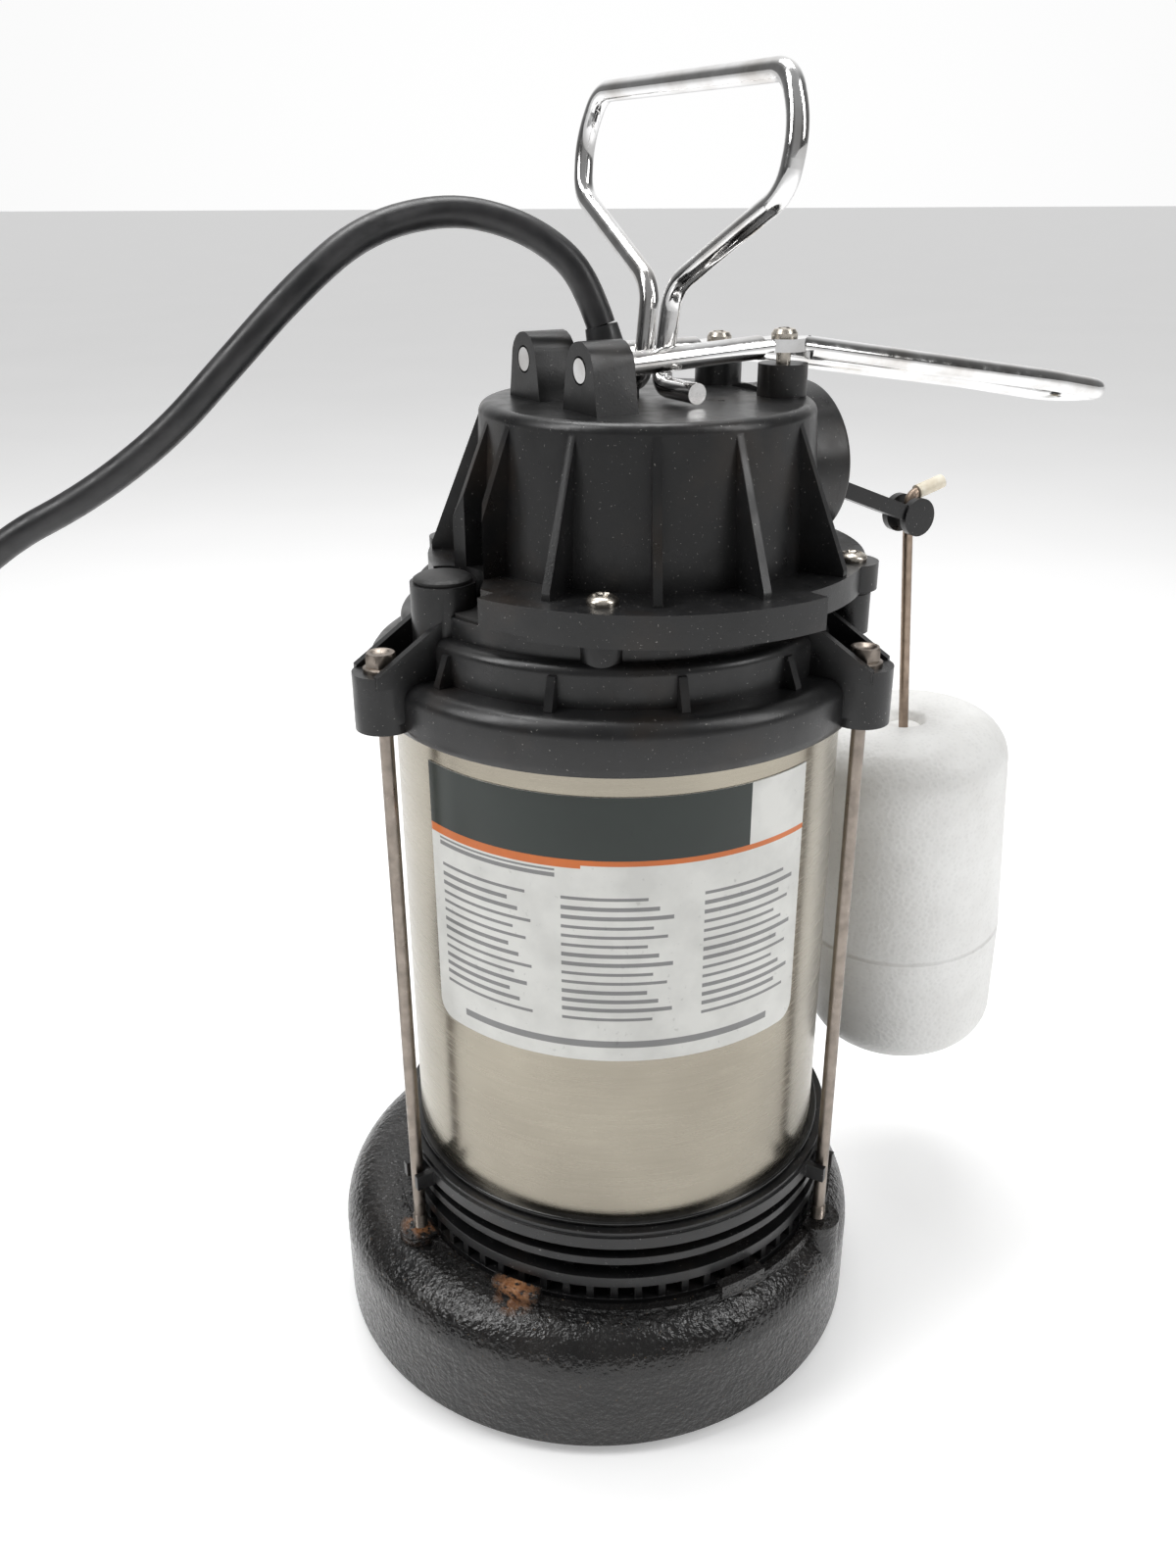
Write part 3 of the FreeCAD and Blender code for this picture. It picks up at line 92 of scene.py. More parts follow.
def noise(tree, scale, detail=3.0, stretch=(1, 1, 1)):
    """Noise in the piece's own metres, stretched along an axis by a number under 1."""
    place = add_node(tree, "ShaderNodeTexCoord")
    mapping = add_node(tree, "ShaderNodeMapping")
    mapping.inputs["Scale"].default_value = stretch
    texture = add_node(tree, "ShaderNodeTexNoise", Scale=scale, Detail=detail, Roughness=0.55)
    tree.links.new(place.outputs["Object"], mapping.inputs["Vector"])
    tree.links.new(mapping.outputs["Vector"], texture.inputs["Vector"])
    return texture.outputs["Fac"]


def ramp(tree, source, stops):
    """Colour ramp; each stop is a position and a colour or a grey value."""
    node = add_node(tree, "ShaderNodeValToRGB")
    tree.links.new(source, node.inputs["Fac"])
    elements = node.color_ramp.elements
    while len(elements) < len(stops):
        elements.new(0.5)
    for element, (position, value) in zip(elements, stops):
        element.position = position
        element.color = (value, value, value, 1) if isinstance(value, (int, float)) else (*value, 1)
    return node.outputs["Color"]


def blend(tree, amount, first, second, mode="MIX"):
    node = add_node(tree, "ShaderNodeMix", data_type="RGBA", blend_type=mode)
    sockets = {"Factor": amount, MIX_FIRST: first, MIX_SECOND: second}
    for key, value in sockets.items():
        socket = node.inputs[key]
        if isinstance(value, bpy.types.NodeSocket):
            tree.links.new(value, socket)
        elif isinstance(value, (int, float)):
            socket.default_value = value
        else:
            socket.default_value = (*value, 1)
    return node.outputs[MIX_RESULT]


def make_floor():
    half = FLOOR_HALF
    mesh = bpy.data.meshes.new("floor")
    corners = [(-half, -half, 0), (half, -half, 0), (half, half, 0), (-half, half, 0)]
    mesh.from_pydata(corners, [], [(0, 1, 2, 3)])
    floor = new_piece("floor", mesh)
    material, tree, shader = new_material("floor_paper", FLOOR_COLOUR, 0.9)
    grain = ramp(tree, noise(tree, 3.0), [(0.3, 0.84), (0.7, 0.88)])
    tree.links.new(grain, shader.inputs["Base Color"])
    shader.inputs["Emission Color"].default_value = (1, 1, 1, 1)
    shader.inputs["Emission Strength"].default_value = FLOOR_GLOW
    mesh.materials.append(material)


def soft_light(name, place, width, height, watts):
    data = bpy.data.lights.new(name, "AREA")
    data.shape = "RECTANGLE"
    data.size = width
    data.size_y = height
    data.energy = watts
    lamp = bpy.data.objects.new(name, data)
    bpy.context.scene.collection.objects.link(lamp)
    lamp.location = place
    lamp.rotation_euler = (Vector(ROOM_CENTRE) - Vector(place)).to_track_quat("-Z", "Y").to_euler()


def add_half(tree, source):
    """Turns a direction from -1..1 into 0..1."""
    node = add_node(tree, "ShaderNodeMapRange")
    node.inputs["From Min"].default_value = -1.0
    tree.links.new(source, node.inputs["Value"])
    return node.outputs["Result"]


def light_room():
    world = bpy.data.worlds.new("room")
    bpy.context.scene.world = world
    world.use_nodes = True
    tree = world.node_tree
    background = tree.nodes["Background"]
    place = add_node(tree, "ShaderNodeTexCoord")
    split = add_node(tree, "ShaderNodeSeparateXYZ")
    tree.links.new(place.outputs["Generated"], split.inputs["Vector"])
    bands = ramp(tree, add_half(tree, split.outputs["Y"]),
                 [(0.0, 0.25), (0.45, 0.35), (0.8, 0.8), (1.0, 1.0)])
    sides = ramp(tree, add_half(tree, split.outputs["X"]),
                 [(0.0, 0.22), (0.13, 0.25), (0.3, 1.0), (0.7, 1.0), (0.87, 0.25), (1.0, 0.22)])
    tree.links.new(blend(tree, 1.0, bands, sides, "MULTIPLY"), background.inputs["Color"])
    background.inputs["Strength"].default_value = 1.0
    for light in LIGHTS:
        soft_light(*light)


def place_camera():
    data = bpy.data.cameras.new("camera")
    data.sensor_fit = "HORIZONTAL"
    data.sensor_width = SENSOR_WIDTH
    data.lens = CAMERA_LENS
    camera = bpy.data.objects.new("camera", data)
    bpy.context.scene.collection.objects.link(camera)
    tilt = Matrix.Rotation(math.pi / 2 - CAMERA_PITCH, 4, "X")
    turn = Matrix.Rotation(CAMERA_YAW, 4, "Z") @ tilt @ Matrix.Rotation(CAMERA_ROLL, 4, "Z")
    camera.matrix_world = Matrix.Translation(CAMERA_PLACE) @ turn
    bpy.context.scene.camera = camera


make_floor()
light_room()
place_camera()
bpy.context.scene.view_settings.view_transform = "Standard"

# ---- Power cord, its stored coil and the plug ----------------------------------------------
# A round three-core cord in a black rubber jacket. It stands up out of the gland, falls over
# the cap's left side to the floor, and its spare length lies there in a flat coil.
CORD_R = 0.0042
COIL_CENTRE = (-0.322, 0.005)
COIL_RADII = (0.0586, 0.0502, 0.0418, 0.0334)
TURN_POINTS = 16
RELIEF_END = (-0.005, 0.0008, 0.3415)
CORD_ROUTE = [
    RELIEF_END, (-0.009, 0.002, 0.3525), (-0.0165, 0.0032, 0.3615), (-0.030, 0.004, 0.369),
    (-0.048, 0.0015, 0.3725), (-0.069, -0.011, 0.3675), (-0.086, -0.024, 0.353), (-0.104, -0.031, 0.3345),
    (-0.123, -0.032, 0.316), (-0.148, -0.031, 0.299), (-0.174, -0.031, 0.2865), (-0.197, -0.033, 0.266),
    (-0.215, -0.037, 0.236), (-0.229, -0.042, 0.200), (-0.240, -0.049, 0.162), (-0.249, -0.057, 0.123),
    (-0.256, -0.063, 0.085), (-0.261, -0.061, 0.050), (-0.264, -0.044, 0.022), (-0.2645, -0.017, 0.008),
]


def coil_points():
    """Four turns winding in on the floor, then back out on top of them."""
    levels = [(r, CORD_R) for r in COIL_RADII] + [(r, 3 * CORD_R) for r in reversed(COIL_RADII)]
    points = []
    for turn in range(len(levels)):
        steps = TURN_POINTS if turn < len(levels) - 1 else TURN_POINTS // 2 + 1
        following = levels[min(turn + 1, len(levels) - 1)]
        for step in range(steps):
            share = step / TURN_POINTS
            angle = 2 * math.pi * (turn + share)
            ease = max(0.0, (share - 0.6) / 0.4)
            radius = levels[turn][0] + (following[0] - levels[turn][0]) * ease
            height = levels[turn][1] + (following[1] - levels[turn][1]) * ease
            x = COIL_CENTRE[0] + radius * math.cos(angle)
            y = COIL_CENTRE[1] + radius * math.sin(angle)
            points.append((x, y, height))
    return points


def smooth_cord(name, points, radius):
    curve = bpy.data.curves.new(name, "CURVE")
    curve.dimensions = "3D"
    spline = curve.splines.new("NURBS")
    spline.points.add(len(points) - 1)
    for target, point in zip(spline.points, points):
        target.co = (*point, 1)
    spline.order_u = 3
    spline.use_endpoint_u = True
    spline.resolution_u = 8
    curve.bevel_depth = radius
    curve.bevel_resolution = 6
    curve.use_fill_caps = True
    return new_piece(name, curve)


def bumped(tree, shader, height, strength, distance):
    """Adds a bump on top of any the shader already has."""
    node = add_node(tree, "ShaderNodeBump", Strength=strength, Distance=distance)
    tree.links.new(height, node.inputs["Height"])
    normal_in = shader.inputs["Normal"]
    if normal_in.is_linked:
        tree.links.new(normal_in.links[0].from_socket, node.inputs["Normal"])
    tree.links.new(node.outputs["Normal"], normal_in)


def dress(piece, material):
    piece.data.materials.clear()
    piece.data.materials.append(material)


def jacket_rubber():
    material, tree, shader = new_material("jacket_rubber", (0.016, 0.016, 0.017), 0.36)
    mottled = ramp(tree, noise(tree, 90.0, 4.0),
                   [(0.35, (0.011, 0.011, 0.012)), (0.7, (0.026, 0.025, 0.026))])
    tree.links.new(mottled, shader.inputs["Base Color"])
    worn = ramp(tree, noise(tree, 240.0, 3.0), [(0.35, 0.3), (0.7, 0.48)])
    tree.links.new(worn, shader.inputs["Roughness"])
    bumped(tree, shader, noise(tree, 700.0, 2.0), 0.12, 0.0002)
    return material


rubber = jacket_rubber()
plug_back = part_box("plug_body")[1].y
tail_points = [(COIL_CENTRE[0] - COIL_RADII[0], COIL_CENTRE[1] - 0.012, 3 * CORD_R),
               (COIL_CENTRE[0] - COIL_RADII[0], plug_back - 0.001, 0.0114)]
cord = smooth_cord("cord", CORD_ROUTE + coil_points() + tail_points, CORD_R)
dress(cord, rubber)
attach(cord, "root")
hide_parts("power_cord", "cord_coil", "cord_tail")

# ---- Cast base -------------------------------------------------------------------------------
# The volute is grey iron, sand cast and dipped in a gritty black paint that has chipped to
# rust on the left rod boss and on the raised lip. Each spot has a centre and a reach.
RUST_SPOTS = (((-0.0668, -0.0430, 0.0500), 0.0075), ((-0.0325, -0.0730, 0.0530), 0.0090))


def gritty_iron():
    material, tree, shader = new_material("gritty_iron", (0.018, 0.018, 0.018), 0.42)
    paint = ramp(tree, noise(tree, 55.0, 4.0),
                 [(0.3, (0.006, 0.006, 0.0062)), (0.75, (0.020, 0.018, 0.017))])
    rust = ramp(tree, noise(tree, 420.0, 4.0), [(0.3, (0.16, 0.055, 0.018)), (0.7, (0.42, 0.21, 0.10))])
    place = add_node(tree, "ShaderNodeTexCoord")
    mask = None
    for centre, reach in RUST_SPOTS:
        gap = add_node(tree, "ShaderNodeVectorMath", operation="DISTANCE")
        gap.inputs[1].default_value = centre
        tree.links.new(place.outputs["Object"], gap.inputs[0])
        near = add_node(tree, "ShaderNodeMapRange")
        near.inputs["From Min"].default_value = reach
        near.inputs["From Max"].default_value = 0.25 * reach
        tree.links.new(gap.outputs["Value"], near.inputs["Value"])
        if mask is None:
            mask = near.outputs["Result"]
        else:
            both = add_node(tree, "ShaderNodeMath", operation="MAXIMUM")
            tree.links.new(mask, both.inputs[0])
            tree.links.new(near.outputs["Result"], both.inputs[1])
            mask = both.outputs["Value"]
    patchy = add_node(tree, "ShaderNodeMath", operation="MULTIPLY")
    tree.links.new(mask, patchy.inputs[0])
    tree.links.new(ramp(tree, noise(tree, 380.0, 4.0), [(0.42, 0.0), (0.5, 1.0)]), patchy.inputs[1])
    specks = ramp(tree, noise(tree, 900.0, 2.0), [(0.70, 0.0), (0.76, 1.0)])
    worn = blend(tree, specks, paint, (0.12, 0.085, 0.055))
    tree.links.new(blend(tree, patchy.outputs["Value"], worn, rust), shader.inputs["Base Color"])
    glints = ramp(tree, noise(tree, 700.0, 2.0), [(0.4, 0.14), (0.65, 0.34)])
    tree.links.new(glints, shader.inputs["Roughness"])
    bumped(tree, shader, noise(tree, 560.0, 2.0), 0.6, 0.0009)
    bumped(tree, shader, noise(tree, 160.0, 3.0), 0.35, 0.0015)
    return material


def eased(node_name, piece_name, width, body="root"):
    """The node's shape with its corners rounded, as a mould or a casting leaves them."""
    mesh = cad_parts[node_name].data.copy()
    solid = bmesh.new()
    solid.from_mesh(mesh)
    bmesh.ops.remove_doubles(solid, verts=solid.verts, dist=0.00001)
    bmesh.ops.dissolve_limit(solid, angle_limit=math.radians(1.0), verts=solid.verts, edges=solid.edges)
    bmesh.ops.triangulate(solid, faces=solid.faces)
    for face in solid.faces:
        face.smooth = True
    solid.to_mesh(mesh)
    solid.free()
    piece = new_piece(piece_name, mesh)
    rounding = piece.modifiers.new("rounding", "BEVEL")
    rounding.width = width
    rounding.segments = 2
    rounding.limit_method = "ANGLE"
    rounding.angle_limit = math.radians(35)
    rounding.use_clamp_overlap = True
    normals = piece.modifiers.new("flats", "WEIGHTED_NORMAL")
    normals.keep_sharp = False
    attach(piece, body)
    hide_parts(node_name)
    return piece


base = eased("volute_base", "base_casting", 0.0009)
dress(base, gritty_iron())

# ---- Black mouldings: screen, bottom cover, end bell and switch cap -----------------------------
# Glass-filled black plastic, satin from the mould, with dust in the pores, fine scuffs and a
# brown tint where silt has dried on it. The arm and the boot's retainer are of the same.
PLASTIC_TINT = (0.0095, 0.0095, 0.0100)
DUST_FROM = 0.70
MOULDINGS = (
    ("intake_screen", "screen_rings", 0.0004, "root"),
    ("suction_cover", "bottom_grille", 0.0004, "root"),
    ("end_bell", "end_bell_moulding", 0.0006, "root"),
    ("switch_cap", "cap_moulding", 0.0006, "root"),
    ("housing_ring", "boot_retainer", 0.0005, "root"),
    ("float_arm", "arm_moulding", 0.0004, "switch_arm"),
)


def moulded_plastic():
    material, tree, shader = new_material("satin_black_plastic", PLASTIC_TINT, 0.4)
    red, green, blue = PLASTIC_TINT
    dark = tuple(0.7 * value for value in PLASTIC_TINT)
    brown = (red * 1.9 + 0.004, green * 1.55 + 0.002, blue * 1.3)
    stained = ramp(tree, noise(tree, 38.0, 5.0), [(0.30, dark), (0.52, PLASTIC_TINT), (0.78, brown)])
    specks = ramp(tree, noise(tree, 1300.0, 2.0), [(DUST_FROM, 0.0), (DUST_FROM + 0.05, 1.0)])
    dusty = blend(tree, specks, stained, (0.22, 0.21, 0.20))
    tree.links.new(dusty, shader.inputs["Base Color"])
    satin = ramp(tree, noise(tree, 130.0, 5.0), [(0.3, 0.26), (0.7, 0.42)])
    tree.links.new(satin, shader.inputs["Roughness"])
    bumped(tree, shader, noise(tree, 1600.0, 3.0), 0.10, 0.0003)
    scratches = noise(tree, 260.0, 3.0, stretch=(1.0, 1.0, 0.08))
    bumped(tree, shader, scratches, 0.05, 0.0003)
    return material


black_plastic = moulded_plastic()
for node, piece_name, rounding, body in MOULDINGS:
    dress(eased(node, piece_name, rounding, body), black_plastic)

# ---- Motor shell -----------------------------------------------------------------------------
# A stainless tube, rolled and welded, brushed round its axis and a little warm in colour. It is
# clamped between the base and the end bell by the tie rods.
SOFT_EDGE = math.radians(40)


def brushed_tube():
    material, tree, shader = new_material("brushed_tube", (0.60, 0.565, 0.515), 0.3, 1.0)
    lines = noise(tree, 900.0, 4.0, stretch=(0.06, 0.06, 1.0))
    cloud = noise(tree, 14.0, 3.0)
    warm = ramp(tree, cloud, [(0.3, (0.27, 0.245, 0.20)), (0.7, (0.36, 0.33, 0.27))])
    tree.links.new(blend(tree, 0.12, warm, ramp(tree, lines, [(0.3, 0.35), (0.7, 0.75)]), "OVERLAY"),
                   shader.inputs["Base Color"])
    tree.links.new(ramp(tree, lines, [(0.3, 0.22), (0.7, 0.30)]), shader.inputs["Roughness"])
    shader.inputs["Anisotropic"].default_value = 0.3
    tangent = add_node(tree, "ShaderNodeTangent", direction_type="RADIAL", axis="Z")
    tree.links.new(tangent.outputs["Tangent"], shader.inputs["Tangent"])
    bumped(tree, shader, lines, 0.02, 0.0001)
    return material


def smooth_cad(node_name):
    """Round faces of a kept node shade as round, its corners stay crisp."""
    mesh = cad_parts[node_name].data
    for polygon in mesh.polygons:
        polygon.use_smooth = True
    mesh.set_sharp_from_angle(angle=SOFT_EDGE)
    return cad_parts[node_name]


dress(smooth_cad("motor_shell"), brushed_tube())

# ---- Name plate --------------------------------------------------------------------------------
# A thin printed film stuck round the shell's front: a dark green header over four fifths of
# its top with an orange stripe under it, and plain grey rules on off-white below.
plate_low, plate_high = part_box("label_plate")
PLATE_R = -plate_low.y + 0.00004
PLATE_HALF = math.radians(51.0)
PLATE_BOTTOM = plate_low.z
PLATE_TOP = plate_high.z
PLATE_CORNER = 0.006
PLATE_COLUMNS = 150
PLATE_ROWS = 258
HEADER_FOOT = 0.775
HEADER_RIGHT = 0.82
STRIPE_BREAK = 0.42
TEXT_COLUMNS = 3
TEXT_FOOT = 0.14
TEXT_HEIGHT = 0.5
TEXT_LINES = 14


def printed_film(name, colour):
    material, tree, shader = new_material(name, colour, 0.28)
    faded = tuple(0.86 * value for value in colour)
    tone = ramp(tree, noise(tree, 60.0, 4.0), [(0.35, faded), (0.6, colour)])
    grime = ramp(tree, noise(tree, 420.0, 3.0), [(0.66, 0.0), (0.74, 0.35)])
    grimy = tuple(0.45 * value for value in colour)
    tree.links.new(blend(tree, grime, tone, grimy), shader.inputs["Base Color"])
    bumped(tree, shader, noise(tree, 220.0, 2.0), 0.05, 0.0002)
    return material


PLATE_WHITE, PLATE_HEADER, PLATE_ORANGE, PLATE_RULE = range(4)


def plate_ink(u, z):
    """Which ink covers a place u (0 left, 1 right) and z on the plate."""
    height = (z - PLATE_BOTTOM) / (PLATE_TOP - PLATE_BOTTOM)
    if height > HEADER_FOOT:
        return PLATE_HEADER if u < HEADER_RIGHT else PLATE_WHITE
    if height > 0.757 and u > STRIPE_BREAK:
        return PLATE_ORANGE
    if height > 0.745 and u < STRIPE_BREAK:
        return PLATE_ORANGE
    if 0.70 < height < 0.735 and 0.03 < u < 0.36:
        return PLATE_RULE if (height * 250) % 6 > 2 else PLATE_WHITE
    if 0.05 < height < 0.09 and 0.10 < u < 0.90:
        return PLATE_RULE if (height * 250) % 10 > 4 else PLATE_WHITE
    block = int(u * TEXT_COLUMNS)
    along = u * TEXT_COLUMNS - block
    if TEXT_FOOT < height < TEXT_FOOT + TEXT_HEIGHT and 0.12 < along:
        row = (height - TEXT_FOOT) / TEXT_HEIGHT * TEXT_LINES
        ragged = 0.90 - 0.18 * ((int(row) * 7 + 3 * block) % 5) / 4
        if row % 1 > 0.62 and along < ragged:
            return PLATE_RULE
    return PLATE_WHITE


def name_plate():
    """The film as a grid of small faces, each in one ink, with its lower corners rounded."""
    mesh = bpy.data.meshes.new("name_plate")
    vertices = []
    for row in range(PLATE_ROWS + 1):
        z = PLATE_BOTTOM + (PLATE_TOP - PLATE_BOTTOM) * row / PLATE_ROWS
        inset = 0.0
        if z - PLATE_BOTTOM < PLATE_CORNER:
            rise = PLATE_CORNER - (z - PLATE_BOTTOM)
            inset = (PLATE_CORNER - math.sqrt(max(0.0, PLATE_CORNER ** 2 - rise ** 2))) / PLATE_R
        half = PLATE_HALF - inset
        for column in range(PLATE_COLUMNS + 1):
            angle = -math.pi / 2 - half + 2 * half * column / PLATE_COLUMNS
            vertices.append((PLATE_R * math.cos(angle), PLATE_R * math.sin(angle), z))
    faces = []
    inks = []
    for row in range(PLATE_ROWS):
        for column in range(PLATE_COLUMNS):
            first = row * (PLATE_COLUMNS + 1) + column
            above = first + PLATE_COLUMNS + 1
            faces.append((first, first + 1, above + 1, above))
            z = PLATE_BOTTOM + (PLATE_TOP - PLATE_BOTTOM) * (row + 0.5) / PLATE_ROWS
            inks.append(plate_ink((column + 0.5) / PLATE_COLUMNS, z))
    mesh.from_pydata(vertices, [], faces)
    for colour in (("plate_white", (0.70, 0.70, 0.67)), ("plate_header", (0.010, 0.018, 0.014)),
                   ("plate_orange", (0.62, 0.15, 0.02)), ("plate_rule", (0.22, 0.22, 0.22))):
        mesh.materials.append(printed_film(*colour))
    for polygon, ink in zip(mesh.polygons, inks):
        polygon.material_index = ink
        polygon.use_smooth = True
    piece = new_piece("name_plate", mesh)
    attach(piece, "root")


dress(smooth_cad("label_plate"), printed_film("plate_edge", (0.78, 0.78, 0.75)))
name_plate()

# ---- Rubber gaskets, boot and plugs --------------------------------------------------------------
# Black nitrile, moulded: glossy where the shell is clamped on it, duller on the cap's gasket,
# the boot, the oil plug and the float's stop.


def gasket_rubber(name, roughness):
    material, tree, shader = new_material(name, (0.012, 0.012, 0.012), roughness)
    tone = ramp(tree, noise(tree, 120.0, 3.0),
                [(0.35, (0.008, 0.008, 0.008)), (0.7, (0.022, 0.021, 0.020))])
    tree.links.new(tone, shader.inputs["Base Color"])
    bumped(tree, shader, noise(tree, 500.0, 3.0), 0.15, 0.0003)
    return material


glossy_rubber = gasket_rubber("glossy_rubber", 0.16)
dull_rubber = gasket_rubber("dull_rubber", 0.5)
dress(eased("lower_gasket", "shell_gasket", 0.0007), glossy_rubber)
for name in ("upper_gasket", "cap_gasket"):
    dress(smooth_cad(name), dull_rubber)
dress(eased("oil_plug", "oil_plug_dome", 0.0006), dull_rubber)
dress(eased("diaphragm", "switch_boot", 0.0004), dull_rubber)
dress(eased("float_stop", "bottom_stop", 0.0006, "hanging_rod"), dull_rubber)
dress(smooth_cad("strain_relief"), rubber)
dress(smooth_cad("plug_body"), rubber)
dress(eased("cord_gland", "gland_nut", 0.0006), black_plastic)

# ---- Tie rods, screws and other bright hardware -----------------------------------------------------
# Rolled stainless rods with cut threads at the foot and flanged hexagon heads, and pan-head
# cross-recess screws, all slightly stained.


def turned_mesh(name, outline, centre, segments, shaped=None):
    """Closed round mesh from a (radius, z) outline; shaped may move each point."""
    mesh = bmesh.new()
    rings = []
    for radius, z in outline:
        ring = []
        for step in range(segments):
            angle = 2 * math.pi * step / segments
            r, height = (radius, z) if shaped is None else shaped(radius, z, angle)
            x = centre[0] + r * math.cos(angle)
            y = centre[1] + r * math.sin(angle)
            ring.append(mesh.verts.new((x, y, height)))
        rings.append(ring)
    for lower, upper in zip(rings, rings[1:]):
        for step in range(segments):
            after = (step + 1) % segments
            mesh.faces.new((lower[step], lower[after], upper[after], upper[step]))
    mesh.faces.new(list(reversed(rings[0])))
    mesh.faces.new(rings[-1])
    for face in mesh.faces:
        face.smooth = True
    data = bpy.data.meshes.new(name)
    mesh.to_mesh(data)
    mesh.free()
    data.set_sharp_from_angle(angle=math.radians(38))
    return data


def bright_steel(name, colour, roughness):
    material, tree, shader = new_material(name, colour, roughness, 1.0)
    stain = tuple(0.72 * value for value in colour)
    tone = ramp(tree, noise(tree, 180.0, 4.0), [(0.32, stain), (0.6, colour)])
    tree.links.new(tone, shader.inputs["Base Color"])
    tree.links.new(ramp(tree, noise(tree, 400.0, 3.0), [(0.3, roughness * 0.8), (0.7, roughness * 1.5)]),
                   shader.inputs["Roughness"])
    bumped(tree, shader, noise(tree, 900.0, 2.0), 0.08, 0.0002)
    return material


hardware = bright_steel("stained_stainless", (0.62, 0.57, 0.50), 0.24)
rod_steel = bright_steel("rod_stainless", (0.30, 0.26, 0.225), 0.32)
ROD_AZ = (-27.3, 92.7, 212.7)
ROD_CIRCLE_R = 0.0792
ROD_R = 0.0021
THREAD_R = 0.0024
THREAD_PITCH = 0.0009
ROD_FOOT = 0.030
THREAD_TOP = 0.058
EAR_TOP = 0.253
HEX_FLAT = 0.0080
HEX_CORNER_R = 0.00455
HEAD_TOP = 0.2584


def tie_rod(number, az_deg):
    az = math.radians(az_deg)
    centre = (ROD_CIRCLE_R * math.cos(az), ROD_CIRCLE_R * math.sin(az))
    outline = [(THREAD_R * 0.8, ROD_FOOT)]
    z = ROD_FOOT + 0.0004
    while z < THREAD_TOP - THREAD_PITCH:
        outline += [(THREAD_R, z), (THREAD_R - 0.0004, z + THREAD_PITCH / 2)]
        z += THREAD_PITCH
    outline += [(ROD_R, THREAD_TOP), (ROD_R, EAR_TOP)]
    outline += [(0.0053, EAR_TOP + 0.00002), (0.0053, EAR_TOP + 0.0010), (0.0047, EAR_TOP + 0.0014)]
    outline += [(HEX_FLAT, EAR_TOP + 0.0015), (HEX_FLAT, HEAD_TOP - 0.0008), (0.0040, HEAD_TOP - 0.0001)]
    outline += [(0.0034, HEAD_TOP), (0.0028, HEAD_TOP - 0.0003)]
    outline += [(0.0020, HEAD_TOP - 0.0009), (0.0004, HEAD_TOP - 0.001)]

    def hexed(radius, z, angle):
        if radius < HEX_FLAT:
            return radius, z
        sector = (angle + math.pi / 6) % (math.pi / 3) - math.pi / 6
        return min(HEX_FLAT / 2 / math.cos(sector), HEX_CORNER_R), z

    mesh = turned_mesh("tie_rod", outline, centre, 48, hexed)
    piece = new_piece("tie_rod_" + str(number), mesh)
    dress(piece, rod_steel)
    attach(piece, "root")
    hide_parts("tie_rods")


for number, az_deg in enumerate(ROD_AZ):
    tie_rod(number, az_deg)

MIRROR_AZ = math.radians(30.5)
CAP_X = 0.0084
CAP_Y = 0.002
SCREW_OFFSETS = (-132.0, -44.6, 45.0, 135.0)
SCREW_CIRCLE_R = 0.0623
SCREW_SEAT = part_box("cap_screws")[1].z - 0.003
SCREW_HEAD_R = 0.00435
SCREW_HEAD_H = 0.0028


def on_cap(along, across, z):
    """Along the cap's mirror line, across it to the front, and up."""
    x = CAP_X + along * math.cos(MIRROR_AZ) + across * math.sin(MIRROR_AZ)
    y = CAP_Y + along * math.sin(MIRROR_AZ) - across * math.cos(MIRROR_AZ)
    return Vector((x, y, z))


def pan_screw(name, centre, turn):
    """Domed head with a pressed cross recess, and its shank below the seat."""
    seat = SCREW_SEAT
    head_r = SCREW_HEAD_R
    head_h = SCREW_HEAD_H
    outline = [(0.0018, seat - 0.008), (0.0018, seat - 0.00005), (head_r * 0.97, seat)]
    outline += [(head_r, seat + 0.3 * head_h)]
    for step in range(1, 15):
        angle = math.pi / 2 * step / 15
        outline.append((head_r * math.cos(angle), seat + head_h * (0.3 + 0.7 * math.sin(angle))))
    outline.append((head_r * 0.02, seat + head_h))
    arm_half = 0.11 * 2 * head_r
    reach = 0.56 * head_r
    depth = 0.55 * head_h

    def crossed(radius, z, angle):
        if z < seat + 0.5 * head_h or radius > reach:
            return radius, z
        x = abs(radius * math.cos(angle - turn))
        y = abs(radius * math.sin(angle - turn))
        inside = min(x, y) < arm_half
        sink = depth * (1 - 0.75 * radius / reach) if inside else 0.0
        return radius, z - sink

    mesh = turned_mesh(name, outline, centre, 72, crossed)
    piece = new_piece(name, mesh)
    dress(piece, hardware)
    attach(piece, "root")
    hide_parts("cap_screws")


for number, offset in enumerate(SCREW_OFFSETS):
    az = MIRROR_AZ + math.radians(offset)
    centre = (CAP_X + SCREW_CIRCLE_R * math.cos(az), CAP_Y + SCREW_CIRCLE_R * math.sin(az))
    pan_screw("cap_screw_" + str(number), centre, 0.4 + number)
for name in ("cover_screws", "guard_screws", "lower_bearing", "upper_bearing", "capacitor_clip",
             "switch_bracket", "shaft", "arm_pin", "seal_spring"):
    dress(smooth_cad(name), hardware)

# ---- Guard loop and carrying bail ---------------------------------------------------------------------
# Bent steel wire, bright chromed. The guard's wires are pressed flat where they are screwed
# to the cap, and the bail swings in the cap's bosses.


